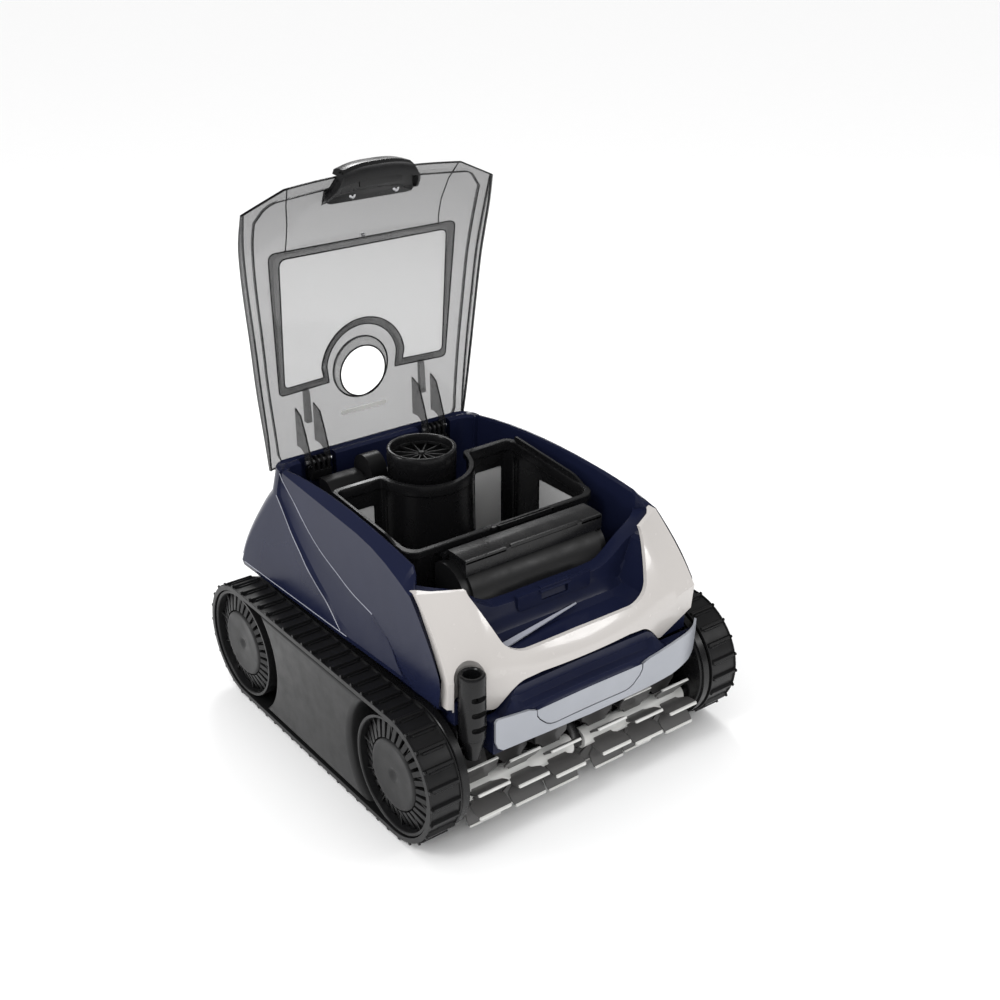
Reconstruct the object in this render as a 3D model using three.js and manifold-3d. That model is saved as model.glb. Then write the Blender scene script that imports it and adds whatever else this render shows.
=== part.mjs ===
// Tracked robotic pool cleaner with its lid open, in millimetres.
// Frame: +X right, +Z up, the front of the machine faces -Y.
// Origin: on the floor, midway between the two wheel axles and the two tracks.
import * as THREE from 'three';
import { mergeVertices } from 'three/addons/utils/BufferGeometryUtils.js';
import Module from 'manifold-3d';

const wasm = await Module();
wasm.setup();

// ---------------------------------------------------------------- driving dimensions
const GAP = 0.3; // clearance between two pieces that touch
const FAR = 400; // reach of a cutting tool beyond any piece

const TRACK = {
  outer: 215, // outer side of the belt
  inner: 176, // inner side of the belt
  wheelbase: 325,
  axleZ: 75.8,
  tip: 75.8, // radius of the lug tips
  base: 71.2, // radius of the belt between lugs
  bore: 67, // radius of the belt's inner face
  lugsStraight: 16,
  lugsArc: 11,
  lugTop: 4.6,
  lugFoot: 7.4,
  boreSteps: 18,
};
const HALF_BASE = TRACK.wheelbase / 2;

const WHEEL = {
  inner: 178,
  width: 35,
  radius: 66,
  bore: 8.6,
  hub: 20,
  ringOut: 54, // recess that the drive pinion runs in
  ringDepth: 14,
  seat: 42, // recess of the hub cap
  segments: 24,
};
const CAP = { radius: 40, thick: 7, dent: 7 };
const AXLE = { radius: 8, from: 164, to: 203 };
const FRAME = { inner: 163, outer: 175.4, radius: 68, bore: 8.3 };
const PANEL = { inner: 176.5, outer: 214, low: 10, high: 141.6, scoop: 82, wall: 3 };

const PINION = { offset: 38, radius: 12.6, root: 10.6, teeth: 12, shaft: 3, from: 179.5, to: 189.5 };
const MOTOR = { radius: 22, from: 74, to: 155 };

const TUB = { half: 161, wall: 3.2, top: 140, floor: 24 };
const MOUTH = { half: 90, front: -70, rear: -35 };
const FLAP = { y: -39, z: 31 };
const BAY = { low: 114, high: 117.7 };

const SKIRT = { half: 175.4, z: 150, tail: 135 };
// How far the sides lean in for each millimetre of height, at the front and at the rear.
const LEAN = { front: 0.085, rear: 0.248, from: -110, to: 185 };
const EDGE = { z: 281.5, from: -20, fall: 0.0016 }; // crease where a side turns into the rim's chamfer
const CREST = { z: 292.6, y: 45, fallFront: 0.00046, fallRear: 0.00085, half: 145.8, taper: 0.037 };
const NOSE = { y: -121, z: 262 }; // front end of the rim
const REAR = { low: 228, high: 193, foot: 150, brow: 252, bend: 2.6, corner: 24 };
const WALL = { side: 4, rim: 3, rimFrom: 236, rear: 13, mouth: 160 };

const TUBE = { x: 0, y: 84.8, radius: 41, inner: 38, low: 118.5, top: 304 };
const HINGE = { y: 181, z: 273.8, x: 84, pin: 3 };
const BRUSH = { y: -199, z: 48, tip: 38.5, core: 11, from: 8, to: 158, blade: 45 };
const BASKET = { half: 127, front: -77, rear: 80, floor: 118, wall: 2.5, notch: 58 };
const GLAND = { x: -145, y: -211, radius: 14.5, low: 97, top: 198 };

// ---------------------------------------------------------------- solids
function toSolid(geometry) {
  const bare = geometry.clone();
  bare.deleteAttribute('normal');
  bare.deleteAttribute('uv');
  const merged = mergeVertices(bare, 1e-4);
  return new wasm.Manifold(new wasm.Mesh({
    numProp: 3,
    vertProperties: new Float32Array(merged.attributes.position.array),
    triVerts: new Uint32Array(merged.index.array),
  }));
}

function toGeometry(solid) {
  const mesh = solid.getMesh();
  const geometry = new THREE.BufferGeometry();
  geometry.setAttribute('position', new THREE.BufferAttribute(mesh.vertProperties, 3));
  geometry.setIndex(new THREE.BufferAttribute(mesh.triVerts, 1));
  geometry.computeVertexNormals();
  return geometry;
}

function join(solids) {
  return solids.reduce((sum, solid) => sum.add(solid));
}

function cut(solid, tools) {
  return tools.reduce((rest, tool) => rest.subtract(tool), solid);
}

// A prism of a flat outline. The outline's two numbers run along the two other axes, in X, Y, Z order.
const BASES = {
  x: [new THREE.Vector3(0, 1, 0), new THREE.Vector3(0, 0, 1), new THREE.Vector3(1, 0, 0)],
  y: [new THREE.Vector3(1, 0, 0), new THREE.Vector3(0, 0, 1), new THREE.Vector3(0, -1, 0)],
  z: [new THREE.Vector3(1, 0, 0), new THREE.Vector3(0, 1, 0), new THREE.Vector3(0, 0, 1)],
};

function prism(axis, outline, from, to, holes = []) {
  const shape = new THREE.Shape(outline.map(([a, b]) => new THREE.Vector2(a, b)));
  shape.holes = holes.map((hole) => new THREE.Path(hole.map(([a, b]) => new THREE.Vector2(a, b))));
  const geometry = new THREE.ExtrudeGeometry(shape, { depth: to - from, bevelEnabled: false });
  const matrix = new THREE.Matrix4().makeBasis(...BASES[axis]);
  geometry.applyMatrix4(matrix);
  const start = BASES[axis][2].clone().multiplyScalar(axis === 'y' ? -to : from);
  geometry.translate(start.x, start.y, start.z);
  return toSolid(geometry);
}

function box(x0, x1, y0, y1, z0, z1) {
  const geometry = new THREE.BoxGeometry(x1 - x0, y1 - y0, z1 - z0);
  geometry.translate((x0 + x1) / 2, (y0 + y1) / 2, (z0 + z1) / 2);
  return toSolid(geometry);
}

// Points of an arc, from one angle to another in degrees.
function arc(a, b, radius, start, end, steps) {
  return Array.from({ length: steps + 1 }, (_, i) => {
    const angle = THREE.MathUtils.degToRad(start + ((end - start) * i) / steps);
    return [a + radius * Math.cos(angle), b + radius * Math.sin(angle)];
  });
}

function circle(a, b, radius, steps) {
  return arc(a, b, radius, 0, 360, steps).slice(0, -1);
}

function roundedRect(a0, a1, b0, b1, radius, steps = 4) {
  return [
    ...arc(a1 - radius, b0 + radius, radius, -90, 0, steps),
    ...arc(a1 - radius, b1 - radius, radius, 0, 90, steps),
    ...arc(a0 + radius, b1 - radius, radius, 90, 180, steps),
    ...arc(a0 + radius, b0 + radius, radius, 180, 270, steps),
  ];
}

function rod(axis, a, b, radius, from, to, steps = 20) {
  return prism(axis, circle(a, b, radius, steps), from, to);
}

// A turned solid about X through the origin, from a closed profile of [radius, x] pairs.
function turned(profile, segments) {
  const closed = [...profile, profile[0]].map(([r, x]) => new THREE.Vector2(r, x));
  const geometry = new THREE.LatheGeometry(closed, segments);
  geometry.rotateZ(-Math.PI / 2);
  return toSolid(geometry);
}

// A closed solid from its corner points and faces, turned inside out if its faces point in.
function closedSolid(points, faces) {
  const volume = faces.reduce((sum, [a, b, c]) => {
    const [pa, pb, pc] = [points[a], points[b], points[c]].map((p) => new THREE.Vector3(...p));
    return sum + pa.dot(pb.cross(pc));
  }, 0);
  const facing = volume > 0 ? faces : faces.map(([a, b, c]) => [a, c, b]);
  const geometry = new THREE.BufferGeometry();
  geometry.setAttribute('position', new THREE.Float32BufferAttribute(points.flat(), 3));
  geometry.setIndex(facing.flat());
  return toSolid(geometry);
}

// A solid through a row of rings with equally many points. capAxes are the two axes a cap is flat in.
function loft(rings, capAxes) {
  const count = rings[0].length;
  const faces = [];
  for (let r = 0; r < rings.length - 1; r += 1) {
    for (let i = 0; i < count; i += 1) {
      const j = (i + 1) % count;
      const [a, b, c, d] = [r * count + i, r * count + j, (r + 1) * count + i, (r + 1) * count + j];
      faces.push([a, b, d], [a, d, c]);
    }
  }
  const last = (rings.length - 1) * count;
  const flat = (ring) => ring.map((p) => new THREE.Vector2(p[capAxes[0]], p[capAxes[1]]));
  const clockwise = THREE.ShapeUtils.isClockWise(flat(rings[0]));
  const cap = (ring, start, turned) => {
    THREE.ShapeUtils.triangulateShape(flat(ring), []).forEach(([a, b, c]) => {
      faces.push(turned ? [start + a, start + c, start + b] : [start + a, start + b, start + c]);
    });
  };
  cap(rings[0], 0, !clockwise);
  cap(rings[rings.length - 1], last, clockwise);
  return closedSolid(rings.flat(), faces);
}

// A curved plate: a grid of points, and the same grid moved by an offset vector.
function plate(grid, offset) {
  const rows = grid.length;
  const columns = grid[0].length;
  const layer = rows * columns;
  const moved = grid.map((row) => row.map((p) => p.map((value, axis) => value + offset[axis])));
  const faces = [];
  const quad = (a, b, c, d) => faces.push([a, b, c], [a, c, d]);
  for (let r = 0; r < rows - 1; r += 1) {
    for (let c = 0; c < columns - 1; c += 1) {
      const at = r * columns + c;
      quad(at, at + 1, at + columns + 1, at + columns);
      quad(layer + at, layer + at + columns, layer + at + columns + 1, layer + at + 1);
    }
  }
  for (let c = 0; c < columns - 1; c += 1) {
    const far = (rows - 1) * columns + c;
    quad(c, layer + c, layer + c + 1, c + 1);
    quad(far, far + 1, layer + far + 1, layer + far);
  }
  for (let r = 0; r < rows - 1; r += 1) {
    const left = r * columns;
    const right = left + columns - 1;
    quad(left, left + columns, layer + left + columns, layer + left);
    quad(right, layer + right, layer + right + columns, right + columns);
  }
  return closedSolid([...grid.flat(), ...moved.flat()], faces);
}

const lerp = THREE.MathUtils.lerp;
const clamp = THREE.MathUtils.clamp;

// ---------------------------------------------------------------- materials
function finish(color, roughness, metalness = 0) {
  return new THREE.MeshStandardMaterial({ color, roughness, metalness });
}

const NAVY = finish(0x1a1f38, 0.25);
const PEARL = finish(0xcdc8c4, 0.3);
const SILVER = finish(0xb0b4bc, 0.35, 0.6);
const BLACK = finish(0x1b1b1d, 0.45);
const GREY = finish(0x4a4a4b, 0.5);
const SMOKE = new THREE.MeshStandardMaterial({
  color: 0x5a5a5c,
  roughness: 0.1,
  transparent: true,
  opacity: 0.5,
});
const MESH = finish(0xa0a0a0, 0.7);
const BRISTLE = finish(0x9a9a9c, 0.4);
const STEEL = finish(0xc0c0c4, 0.3, 1);

// ---------------------------------------------------------------- tracks
// Points of the belt's loop at a distance `lift` from its base, in Y and Z, front to rear along the floor.
function onBelt(stretch, share, lift) {
  const radius = TRACK.base + lift;
  if (stretch === 'low') return [lerp(-HALF_BASE, HALF_BASE, share), TRACK.axleZ - radius];
  if (stretch === 'high') return [lerp(HALF_BASE, -HALF_BASE, share), TRACK.axleZ + radius];
  const side = stretch === 'rear' ? 1 : -1;
  const angle = (share - 0.5) * Math.PI;
  return [
    side * (HALF_BASE + radius * Math.cos(angle)),
    TRACK.axleZ + side * radius * Math.sin(angle),
  ];
}

function stadium(radius, steps) {
  return [
    ...arc(HALF_BASE, TRACK.axleZ, radius, -90, 90, steps),
    ...arc(-HALF_BASE, TRACK.axleZ, radius, 90, 270, steps),
  ];
}

function beltOutline() {
  const points = [];
  const stretches = [['low', TRACK.lugsStraight], ['rear', TRACK.lugsArc]];
  stretches.push(['high', TRACK.lugsStraight], ['front', TRACK.lugsArc]);
  stretches.forEach(([stretch, lugs]) => {
    const isArc = lugs === TRACK.lugsArc;
    const length = isArc ? Math.PI * TRACK.base : TRACK.wheelbase;
    const height = TRACK.tip - TRACK.base;
    for (let lug = 0; lug < lugs; lug += 1) {
      const middle = (lug + 0.5) / lugs;
      const foot = TRACK.lugFoot / 2 / length;
      const top = TRACK.lugTop / 2 / length;
      points.push(onBelt(stretch, middle - foot, 0), onBelt(stretch, middle - top, height));
      points.push(onBelt(stretch, middle + top, height), onBelt(stretch, middle + foot, 0));
    }
  });
  return points;
}

function makeTrack() {
  const width = TRACK.outer - TRACK.inner;
  return prism('x', beltOutline(), 0, width, [stadium(TRACK.bore, TRACK.boreSteps).reverse()]);
}

// Grey cover inside the loop of the belt, hollow towards the machine.
function makeSidePanel() {
  const outline = (inset) => {
    const low = PANEL.low + inset;
    const high = PANEL.high - inset;
    const scoop = PANEL.scoop + inset;
    const angle = (z) => THREE.MathUtils.radToDeg(Math.asin((z - TRACK.axleZ) / scoop));
    return [
      ...arc(HALF_BASE, TRACK.axleZ, scoop, 180 - angle(low), 180 - angle(high), 8),
      ...arc(-HALF_BASE, TRACK.axleZ, scoop, angle(high), angle(low), 8),
    ];
  };
  const deep = PANEL.outer - PANEL.inner;
  const skin = prism('x', outline(0), 0, deep);
  const hollow = prism('x', outline(PANEL.wall), -1, deep - PANEL.wall);
  return cut(skin, [hollow]);
}

// `facing` is -1 for the left one, which is turned round when it is placed.
function makeSideFrame(facing) {
  const cheek = prism('x', stadium(FRAME.radius, 9), 0, FRAME.outer - FRAME.inner);
  const bores = [-HALF_BASE, HALF_BASE].map((y) => rod('x', y, TRACK.axleZ, FRAME.bore, -1, 20));
  const shaft = rod('x', facing * (HALF_BASE - PINION.offset), TRACK.axleZ, PINION.shaft + 0.6, -1, 20, 12);
  const brush = rod('x', facing * BRUSH.y, BRUSH.z, 4.4, -1, 20, 12);
  return cut(cheek, [...bores, shaft, brush]);
}

// ---------------------------------------------------------------- wheels, along +X from their inner side
function makeWheel() {
  const { width, radius, bore, hub, ringOut, ringDepth, seat } = WHEEL;
  const rim = radius - 4;
  return turned([
    [bore, 0], [hub, 0], [hub, ringDepth], [ringOut, ringDepth], [ringOut, 0], [radius, 0],
    [radius, width], [rim, width], [rim - 1, width - 9], [seat, width - 3], [seat, width - 8],
    [bore, width - 8],
  ], WHEEL.segments);
}

function makeHubCap() {
  return turned([
    [0, 0], [CAP.radius, 0], [CAP.radius, CAP.thick - 1.5], [CAP.radius - 2, CAP.thick],
    [CAP.dent, CAP.thick - 0.6], [0, CAP.thick - 2.6],
  ], 24);
}

function makePinion() {
  const { root, radius } = PINION;
  const flank = [[0.1, root], [0.35, radius], [0.65, radius], [0.9, root]]; // [share of the pitch, radius]
  const pitch = 360 / PINION.teeth;
  const teeth = [];
  for (let tooth = 0; tooth < PINION.teeth; tooth += 1) {
    flank.forEach(([share, r]) => {
      teeth.push(arc(0, 0, r, (tooth + share) * pitch, 0, 1)[0]);
    });
  }
  const gear = prism('x', teeth, PINION.from - MOTOR.to, PINION.to - MOTOR.to);
  return gear.add(rod('x', 0, 0, PINION.shaft, GAP, PINION.from - MOTOR.to + 1, 12));
}

// ---------------------------------------------------------------- chassis
function makeChassis() {
  const outer = [
    [-152, TUB.floor], [165, TUB.floor], [207, 62], [216.5, 100], [216.5, TUB.top],
    [-206, 132], [-206, 99], [-152, 99],
  ];
  const plan = [[-161, -210], [161, -210], [161, 198], [147, 220], [-147, 220], [-161, 198]];
  const inner = [
    [-148, TUB.floor + 4], [163, TUB.floor + 4], [203, 64], [212.5, 101], [212.5, 160], [-148, 160],
  ];
  const shelf = box(-TUB.half + 6, TUB.half - 6, -202, -156, 102, 160);
  const well = rod('z', GLAND.x, GLAND.y, GLAND.radius + 1, 90, 150, 24);
  const sideWall = TUB.half - TUB.wall;
  const mouth = box(-MOUTH.half, MOUTH.half, MOUTH.front, MOUTH.rear, 0, 40);
  const shafts = [-1, 1].map((side) => {
    const [from, to] = [side * 150, side * 170].sort((a, b) => a - b);
    return rod('x', HALF_BASE - PINION.offset, TRACK.axleZ, PINION.shaft + 0.6, from, to, 12);
  });
  const innerPlan = [
    [-sideWall, -160], [sideWall, -160], [sideWall, 196], [144, 216], [-144, 216], [-sideWall, 196],
  ];
  const tub = prism('x', outer, -TUB.half, TUB.half).intersect(prism('z', plan, 0, 200));
  const inside = prism('x', inner, -sideWall, sideWall).intersect(prism('z', innerPlan, 0, 200));
  return cut(tub, [inside, shelf, well, mouth, ...shafts]);
}

function makeBayFloor() {
  const half = TUB.half - TUB.wall - GAP;
  const corner = [[-half, -147], [half, -147], [half, 195], [143, 212], [-143, 212], [-half, 195]];
  const floor = prism('z', corner, BAY.low, BAY.high);
  return cut(floor, [
    box(-MOUTH.half - 4.4, MOUTH.half + 4.4, MOUTH.front - 4.4, MOUTH.rear + 4.4, 100, 130),
    rod('z', TUBE.x, TUBE.y, TUBE.radius + 5, 100, 130, 32),
  ]);
}

function makeIntakeDuct() {
  const wall = (out) => [-MOUTH.half - out, MOUTH.half + out, MOUTH.front - out, MOUTH.rear + out];
  return cut(box(...wall(4), TUB.floor + 4.3, BAY.high), [box(...wall(1.5), 0, 150)]);
}

function makeInletFlap() {
  const half = MOUTH.half - 2;
  return box(-half, half, MOUTH.front + 2 - FLAP.y, 0, -1.2, 1.2).add(rod('x', 0, 0, 2, -half, half, 12));
}

// ---------------------------------------------------------------- body shell
function edgeZ(y) {
  return EDGE.z - EDGE.fall * Math.max(EDGE.from - y, 0) ** 2;
}

function crestZ(y) {
  const fall = y < CREST.y ? CREST.fallFront : CREST.fallRear;
  return CREST.z - fall * (y - CREST.y) ** 2;
}

function crestHalf(y) {
  return CREST.half - CREST.taper * y;
}

function sideHalf(y, z) {
  const lean = lerp(LEAN.front, LEAN.rear, (y - LEAN.from) / (LEAN.to - LEAN.from));
  return SKIRT.half - lean * Math.max(z - SKIRT.z, 0);
}

// Half width of the body: a leaning side, and above its crease a chamfer up to the rim's crest.
function halfWidth(y, z) {
  if (z < edgeZ(y)) return sideHalf(y, z);
  const share = (z - edgeZ(y)) / Math.max(crestZ(y) - edgeZ(y), 1);
  return lerp(sideHalf(y, edgeZ(y)), crestHalf(y), Math.min(share, 1));
}

function rearY(z) {
  const share = clamp((z - REAR.foot) / (REAR.brow - REAR.foot), 0, 1);
  return lerp(REAR.low, REAR.high, share ** REAR.bend);
}

// One level of the body: down the right side, round the rear and up the left side.
function bodyRing(z, inset, front) {
  const rear = rearY(z) - inset;
  const corner = REAR.corner - inset / 2;
  const straight = [front, -150, -121, -100, -75, -50, -20, 20, 60, 100, 140];
  const cornerX = halfWidth(rear - corner, z) - inset - corner;
  const right = [
    ...straight.map((y) => [halfWidth(y, z) - inset, y]),
    ...arc(cornerX, rear - corner, corner, 0, 90, 5),
  ];
  return mirrored(right).map(([x, y]) => [x, y, z]);
}

// A right half outline, followed by its mirror image.
function mirrored(right) {
  return [...right, ...right.map(([x, y]) => [-x, y]).reverse()];
}

// The opening inside the rim, seen from above.
function rimPlan() {
  const rear = REAR.high - WALL.rear;
  const corner = REAR.corner - WALL.rear / 2;
  const half = (y) => crestHalf(y) - WALL.rim;
  return mirrored([
    [WALL.mouth, -260],
    [WALL.mouth, -142],
    ...[NOSE.y, -60, 50, 140].map((y) => [half(y), y]),
    ...arc(half(rear - corner) - corner, rear - corner, corner, 0, 90, 5),
  ]);
}

function makeBodyShell() {
  const levels = [120, 150, 190, 230, 255, 265, 273, 279, 284, 290, 300];
  const outside = loft(levels.map((z) => bodyRing(z, 0, -205)), [0, 1]);
  const walls = [100, 150, 190, WALL.rimFrom].map((z) => bodyRing(z, WALL.side, -260));
  const inside = loft(walls, [0, 1]).add(prism('z', rimPlan(), WALL.rimFrom - 1, 320));
  const crest = [NOSE.y, -90, -60, -30, 0, 30, 60, 90, 120, 150, 180, 230].map((y) => [y, crestZ(y)]);
  const above = [[-300, NOSE.z], [NOSE.y - 8, NOSE.z], ...crest, [230, FAR], [-300, FAR]];
  const below = [
    [-300, 0], [300, 0], [300, SKIRT.tail], [200, SKIRT.tail], [200, SKIRT.z], [-25, 152.6], [-300, 163],
  ];
  const ahead = [
    [-300, 100], [-195, 100], [-195, 155], [-199, 189], [-136, NOSE.z], [-136, 300], [-300, 300],
  ];
  const notches = [-1, 1].map((side) => {
    const middle = side * HINGE.x;
    return box(middle - 26, middle + 26, 160, 189.4, 252, 320);
  });
  const tools = [above, below, ahead].map((outline) => prism('x', outline, -FAR, FAR));
  return cut(outside, [inside, ...tools, ...notches]);
}

// ---------------------------------------------------------------- front of the body
const CREASE = { x: 165, y: -219, z: 181, back: 14, rise: 8 };
const LEG = { x: 114, end: 169 };

// Outer face of the bezel at one x: top, middle, crease and foot, in Y and Z.
function bezelFace(x) {
  const share = Math.abs(x) / CREASE.x;
  const crease = [CREASE.y + CREASE.back * share ** 2, CREASE.z + CREASE.rise * share ** 2];
  const outward = clamp((Math.abs(x) - 118) / 45, 0, 1.1);
  const inward = clamp(Math.abs(x) / 118, 0, 1);
  const top = [lerp(-150, -166, inward) + 22 * outward, 262];
  const middle = [lerp(crease[0], top[0], 0.38) - 6 * inward, lerp(crease[1], top[1], 0.38)];
  const footY = Math.abs(x) < LEG.x
    ? -226 + 18 * (Math.abs(x) / LEG.x) ** 2
    : -208 + (9 * (Math.abs(x) - LEG.x)) / (LEG.end - LEG.x);
  return [top, middle, crease, [footY, 138]];
}

const BEZEL_STATIONS = [-169, -163, -140, -118, -98, -70, -35, 0, 35, 70, 98, 118, 140, 163, 169];

function bezelBody(depth) {
  return loft(BEZEL_STATIONS.map((x) => {
    const face = bezelFace(x);
    const back = face.map(([y, z]) => [y + depth, z]).reverse();
    return [...face, ...back].map(([y, z]) => [x, y, z]);
  }), [1, 2]);
}

function makeBezel() {
  const opening = [
    [-118, 280], [-118, 258], [-98, 208], [-88, 199], [-70, 196.5], [0, 196],
    [70, 196.5], [88, 199], [98, 208], [118, 258], [118, 280],
  ];
  const arch = [
    [-190, 100], [-190, 162], [-LEG.end, 159], [-LEG.x, 141], [-100, 158], [-86, 168], [-60, 171],
    [60, 171], [86, 168], [100, 158], [LEG.x, 141], [LEG.end, 159], [190, 162], [190, 100],
  ].reverse();
  const recess = (radius, top) =>
    [-1, 1].map((side) => rod('z', side * GLAND.x, GLAND.y, radius, 120, top, 24));
  const pockets = join(recess(GLAND.radius + 5.5, 212)).intersect(bezelBody(34));
  return cut(bezelBody(5).add(pockets), [
    prism('y', opening, -300, -100), prism('y', arch, -300, -100), ...recess(GLAND.radius + 2.5, 209),
  ]);
}

function makeFrontTray() {
  const wall = prism('y', [
    [-156, 141], [156, 141], [156, 200], [152, 249], [118, 249], [75, 222], [-75, 222],
    [-118, 249], [-152, 249], [-156, 200],
  ], -151, -147.5);
  const scoop = prism('x', [
    [-203, 183], [-203, 190], [-186, 186], [-165, 192],
    [-150.5, 203], [-150.5, 197], [-163, 186], [-186, 181],
  ], -112, 112);
  return wall.add(scoop);
}

function makeLidCatch() {
  const tab = box(-45, 55, -156, -151.3, 206.5, 225);
  return cut(tab, [box(-14, 24, -160, -150, 213, 221)]);
}

function makeFrontSkirt() {
  const front = [
    [161.5, -206.5], [161.5, -210.5], [140, -218], [100, -222.5], [0, -221.5],
    [-100, -222.5], [-128.5, -220.5], [-128.5, -206.5],
  ];
  const body = prism('z', front.reverse(), 99, 164);
  const above = [
    [-180, 137.5], [-116, 137.5], [-88, 163], [88, 163],
    [116, 137.5], [180, 137.5], [180, 190], [-180, 190],
  ];
  return cut(body, [prism('y', above, -300, -100)]);
}

const BUMPER_FRONT = [
  [-128.5, -229], [-60, -227], [0, -226], [60, -227], [100, -227.5], [140, -223.5], [165, -214],
];

function bumperBand(thickness) {
  const outer = [...BUMPER_FRONT, [176, -204.5]];
  const inner = outer.map(([x, y]) => [x - (x > 120 ? thickness * 0.6 : 0), y + thickness]).reverse();
  return prism('z', [...outer, ...inner], 90, 150);
}

const INSERT = [[-73, 150], [-73, 127], [-60, 112], [-48, 108], [48, 108], [60, 112], [73, 127], [73, 150]];

function makeBumper() {
  const face = [
    [-128.5, 116], [-119, 104], [-60, 100], [0, 97.5], [60, 100],
    [119, 105], [157, 123], [177, 134], [177, 140],
    [130, 143], [85, 137], [0, 134], [-85, 138], [-128.5, 144],
  ];
  return bumperBand(3.5).intersect(prism('y', face, -300, -100)).subtract(prism('y', INSERT, -300, -100));
}

function makeBumperInsert() {
  const inset = INSERT.map(([x, z]) => [x * 0.993, z > 130 ? 133.5 : z + 0.5]);
  return bumperBand(3).intersect(prism('y', inset, -300, -100));
}

function makeGland() {
  const r = GLAND.radius;
  const profile = [
    [0, 0], [7, 0], [r - 2, 20], [r - 1.2, 25], [r, 27],
    [r, 99], [r - 1.5, 101], [9, 101], [9, 80], [0, 80],
  ];
  const geometry = new THREE.LatheGeometry(profile.map(([x, y]) => new THREE.Vector2(x, y)), 16);
  geometry.rotateX(Math.PI / 2);
  const slots = [38, 56, 74].map((z) => box(-9, 12, -r - 1, -r + 4.5, z, z + 6));
  return cut(toSolid(geometry), slots);
}

function makeCombPlate() {
  const back = box(-158, 158, -156, -152.4, 26, 98.6);
  const rib = [
    [-155, 98.6], [-204, 98.6], [-199, 89.5], [-181, 84], [-167, 72], [-160, 58], [-158.5, 40], [-155, 40],
  ];
  const ribs = [];
  for (let x = -150; x <= 150; x += 25) {
    if (Math.abs(x) > 8) ribs.push(prism('x', rib, x - 1.5, x + 1.5));
  }
  return join([back, ...ribs]);
}

// ---------------------------------------------------------------- brushes, along +X from their inner end
function makeBrush() {
  const length = BRUSH.to - BRUSH.from;
  const core = rod('x', 0, 0, BRUSH.core, 0, length, 12);
  const blades = [];
  const groups = 3;
  const pitch = length / groups;
  for (let group = 0; group < groups; group += 1) {
    const from = group * pitch + (pitch - BRUSH.blade) / 2;
    for (let blade = 0; blade < 5; blade += 1) {
      const angle = blade * 72 + group * 24;
      const geometry = new THREE.BoxGeometry(BRUSH.blade, BRUSH.tip - BRUSH.core + 3, 2.4);
      geometry.translate(from + BRUSH.blade / 2, (BRUSH.tip + BRUSH.core - 3) / 2, 0);
      geometry.rotateX(THREE.MathUtils.degToRad(angle));
      blades.push(toSolid(geometry));
    }
  }
  return cut(join([core, ...blades]), [rod('x', 0, 0, 4.5, -10, length + 10, 12)]);
}

function makeBrushSupport() {
  const arm = [[-152.3, 90], [-152.3, 40], [-196, 38], [-207, 44], [-207, 54], [-200, 60], [-170, 88]];
  const post = prism('x', arm, -6, 6);
  return cut(post, [rod('x', BRUSH.y, BRUSH.z, 4.3, -10, 10, 12), box(-8, 8, -157, -150, 0, 100)]);
}

// ---------------------------------------------------------------- pump
function makePropeller() {
  const hub = rod('z', 0, 0, 9, -8, 10, 12);
  const blades = [0, 120, 240].map((angle) => {
    const geometry = new THREE.BoxGeometry(29, 22, 2.4);
    geometry.rotateX(THREE.MathUtils.degToRad(32));
    geometry.translate(21, 0, 0);
    geometry.rotateZ(THREE.MathUtils.degToRad(angle));
    return toSolid(geometry);
  });
  return cut(join([hub, ...blades]), [rod('z', 0, 0, 3.8, -20, 20, 12)]);
}

function makeOutletTube() {
  const profile = [
    [TUBE.inner, 0], [TUBE.radius, 0],
    [TUBE.radius, TUBE.top - TUBE.low], [TUBE.inner, TUBE.top - TUBE.low],
  ];
  const closed = [...profile, profile[0]].map(([x, y]) => new THREE.Vector2(x, y));
  const geometry = new THREE.LatheGeometry(closed, 32);
  geometry.rotateX(Math.PI / 2);
  const windows = [box(-14, 14, -60, 60, 6, 46), box(-60, 60, -14, 14, 6, 46)];
  return cut(toSolid(geometry), windows);
}

function makeOutletGrille() {
  const holes = [];
  const count = 12;
  for (let hole = 0; hole < count; hole += 1) {
    const pitch = 360 / count;
    const start = hole * pitch + 2;
    const end = (hole + 1) * pitch - 2;
    holes.push([...arc(0, 0, 34.5, start, end, 2), ...arc(0, 0, 8, end - 4, start + 4, 1)].reverse());
  }
  return prism('z', circle(0, 0, TUBE.inner - GAP, 24), 0, 3.5, holes);
}

function makeRearManifold() {
  const chamber = box(-96, -44.5, 128, 160, 200, 264);
  const duct = rod('z', -30, 148, 20, 200, 284, 20);
  return chamber.add(duct);
}

// ---------------------------------------------------------------- hinges
function makeHingeBracket() {
  const fingers = [-10.5, -3.5, 3.5, 10.5].map((x) => {
    const finger = [[-8, -20], [7.5, -20], [7.5, 0], ...arc(0, 0, 7.5, 0, 180, 4), [-8, -8]];
    return prism('x', finger, x - 1.5, x + 1.5);
  });
  const foot = box(-14, 14, -8, 7.5, -20, -9);
  return cut(join([foot, ...fingers]), [rod('x', 0, 0, HINGE.pin + 0.6, -20, 20, 8)]);
}

// ---------------------------------------------------------------- lid, standing open
const LID = {
  low: 277, thick: 3, flange: 2, crown: 13.5, top: 583.5, nose: 0.65, middle: 612, bend: 606, bendAt: 0.7,
};
const LID_HOLE = { z: 370, radius: 33, collar: 35.5, arch: 60 };
const LID_RIB = { low: 358.6, top: 525, width: 2.4, deep: 12 };
// Edge of the lid at heights above the floor: [z, half width, y of the edge, depth of the side flange].
const LID_EDGE = [
  [277, 141, 199.7, 5], [310, 143.6, 200, 9], [370, 149.4, 199.3, 12], [430, 154.6, 195.4, 12],
  [490, 160.4, 191.3, 12], [520, 163.6, 187, 11.5], [550, 166.2, 180.8, 10], [LID.top, 166.3, 170, 5],
];

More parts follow.
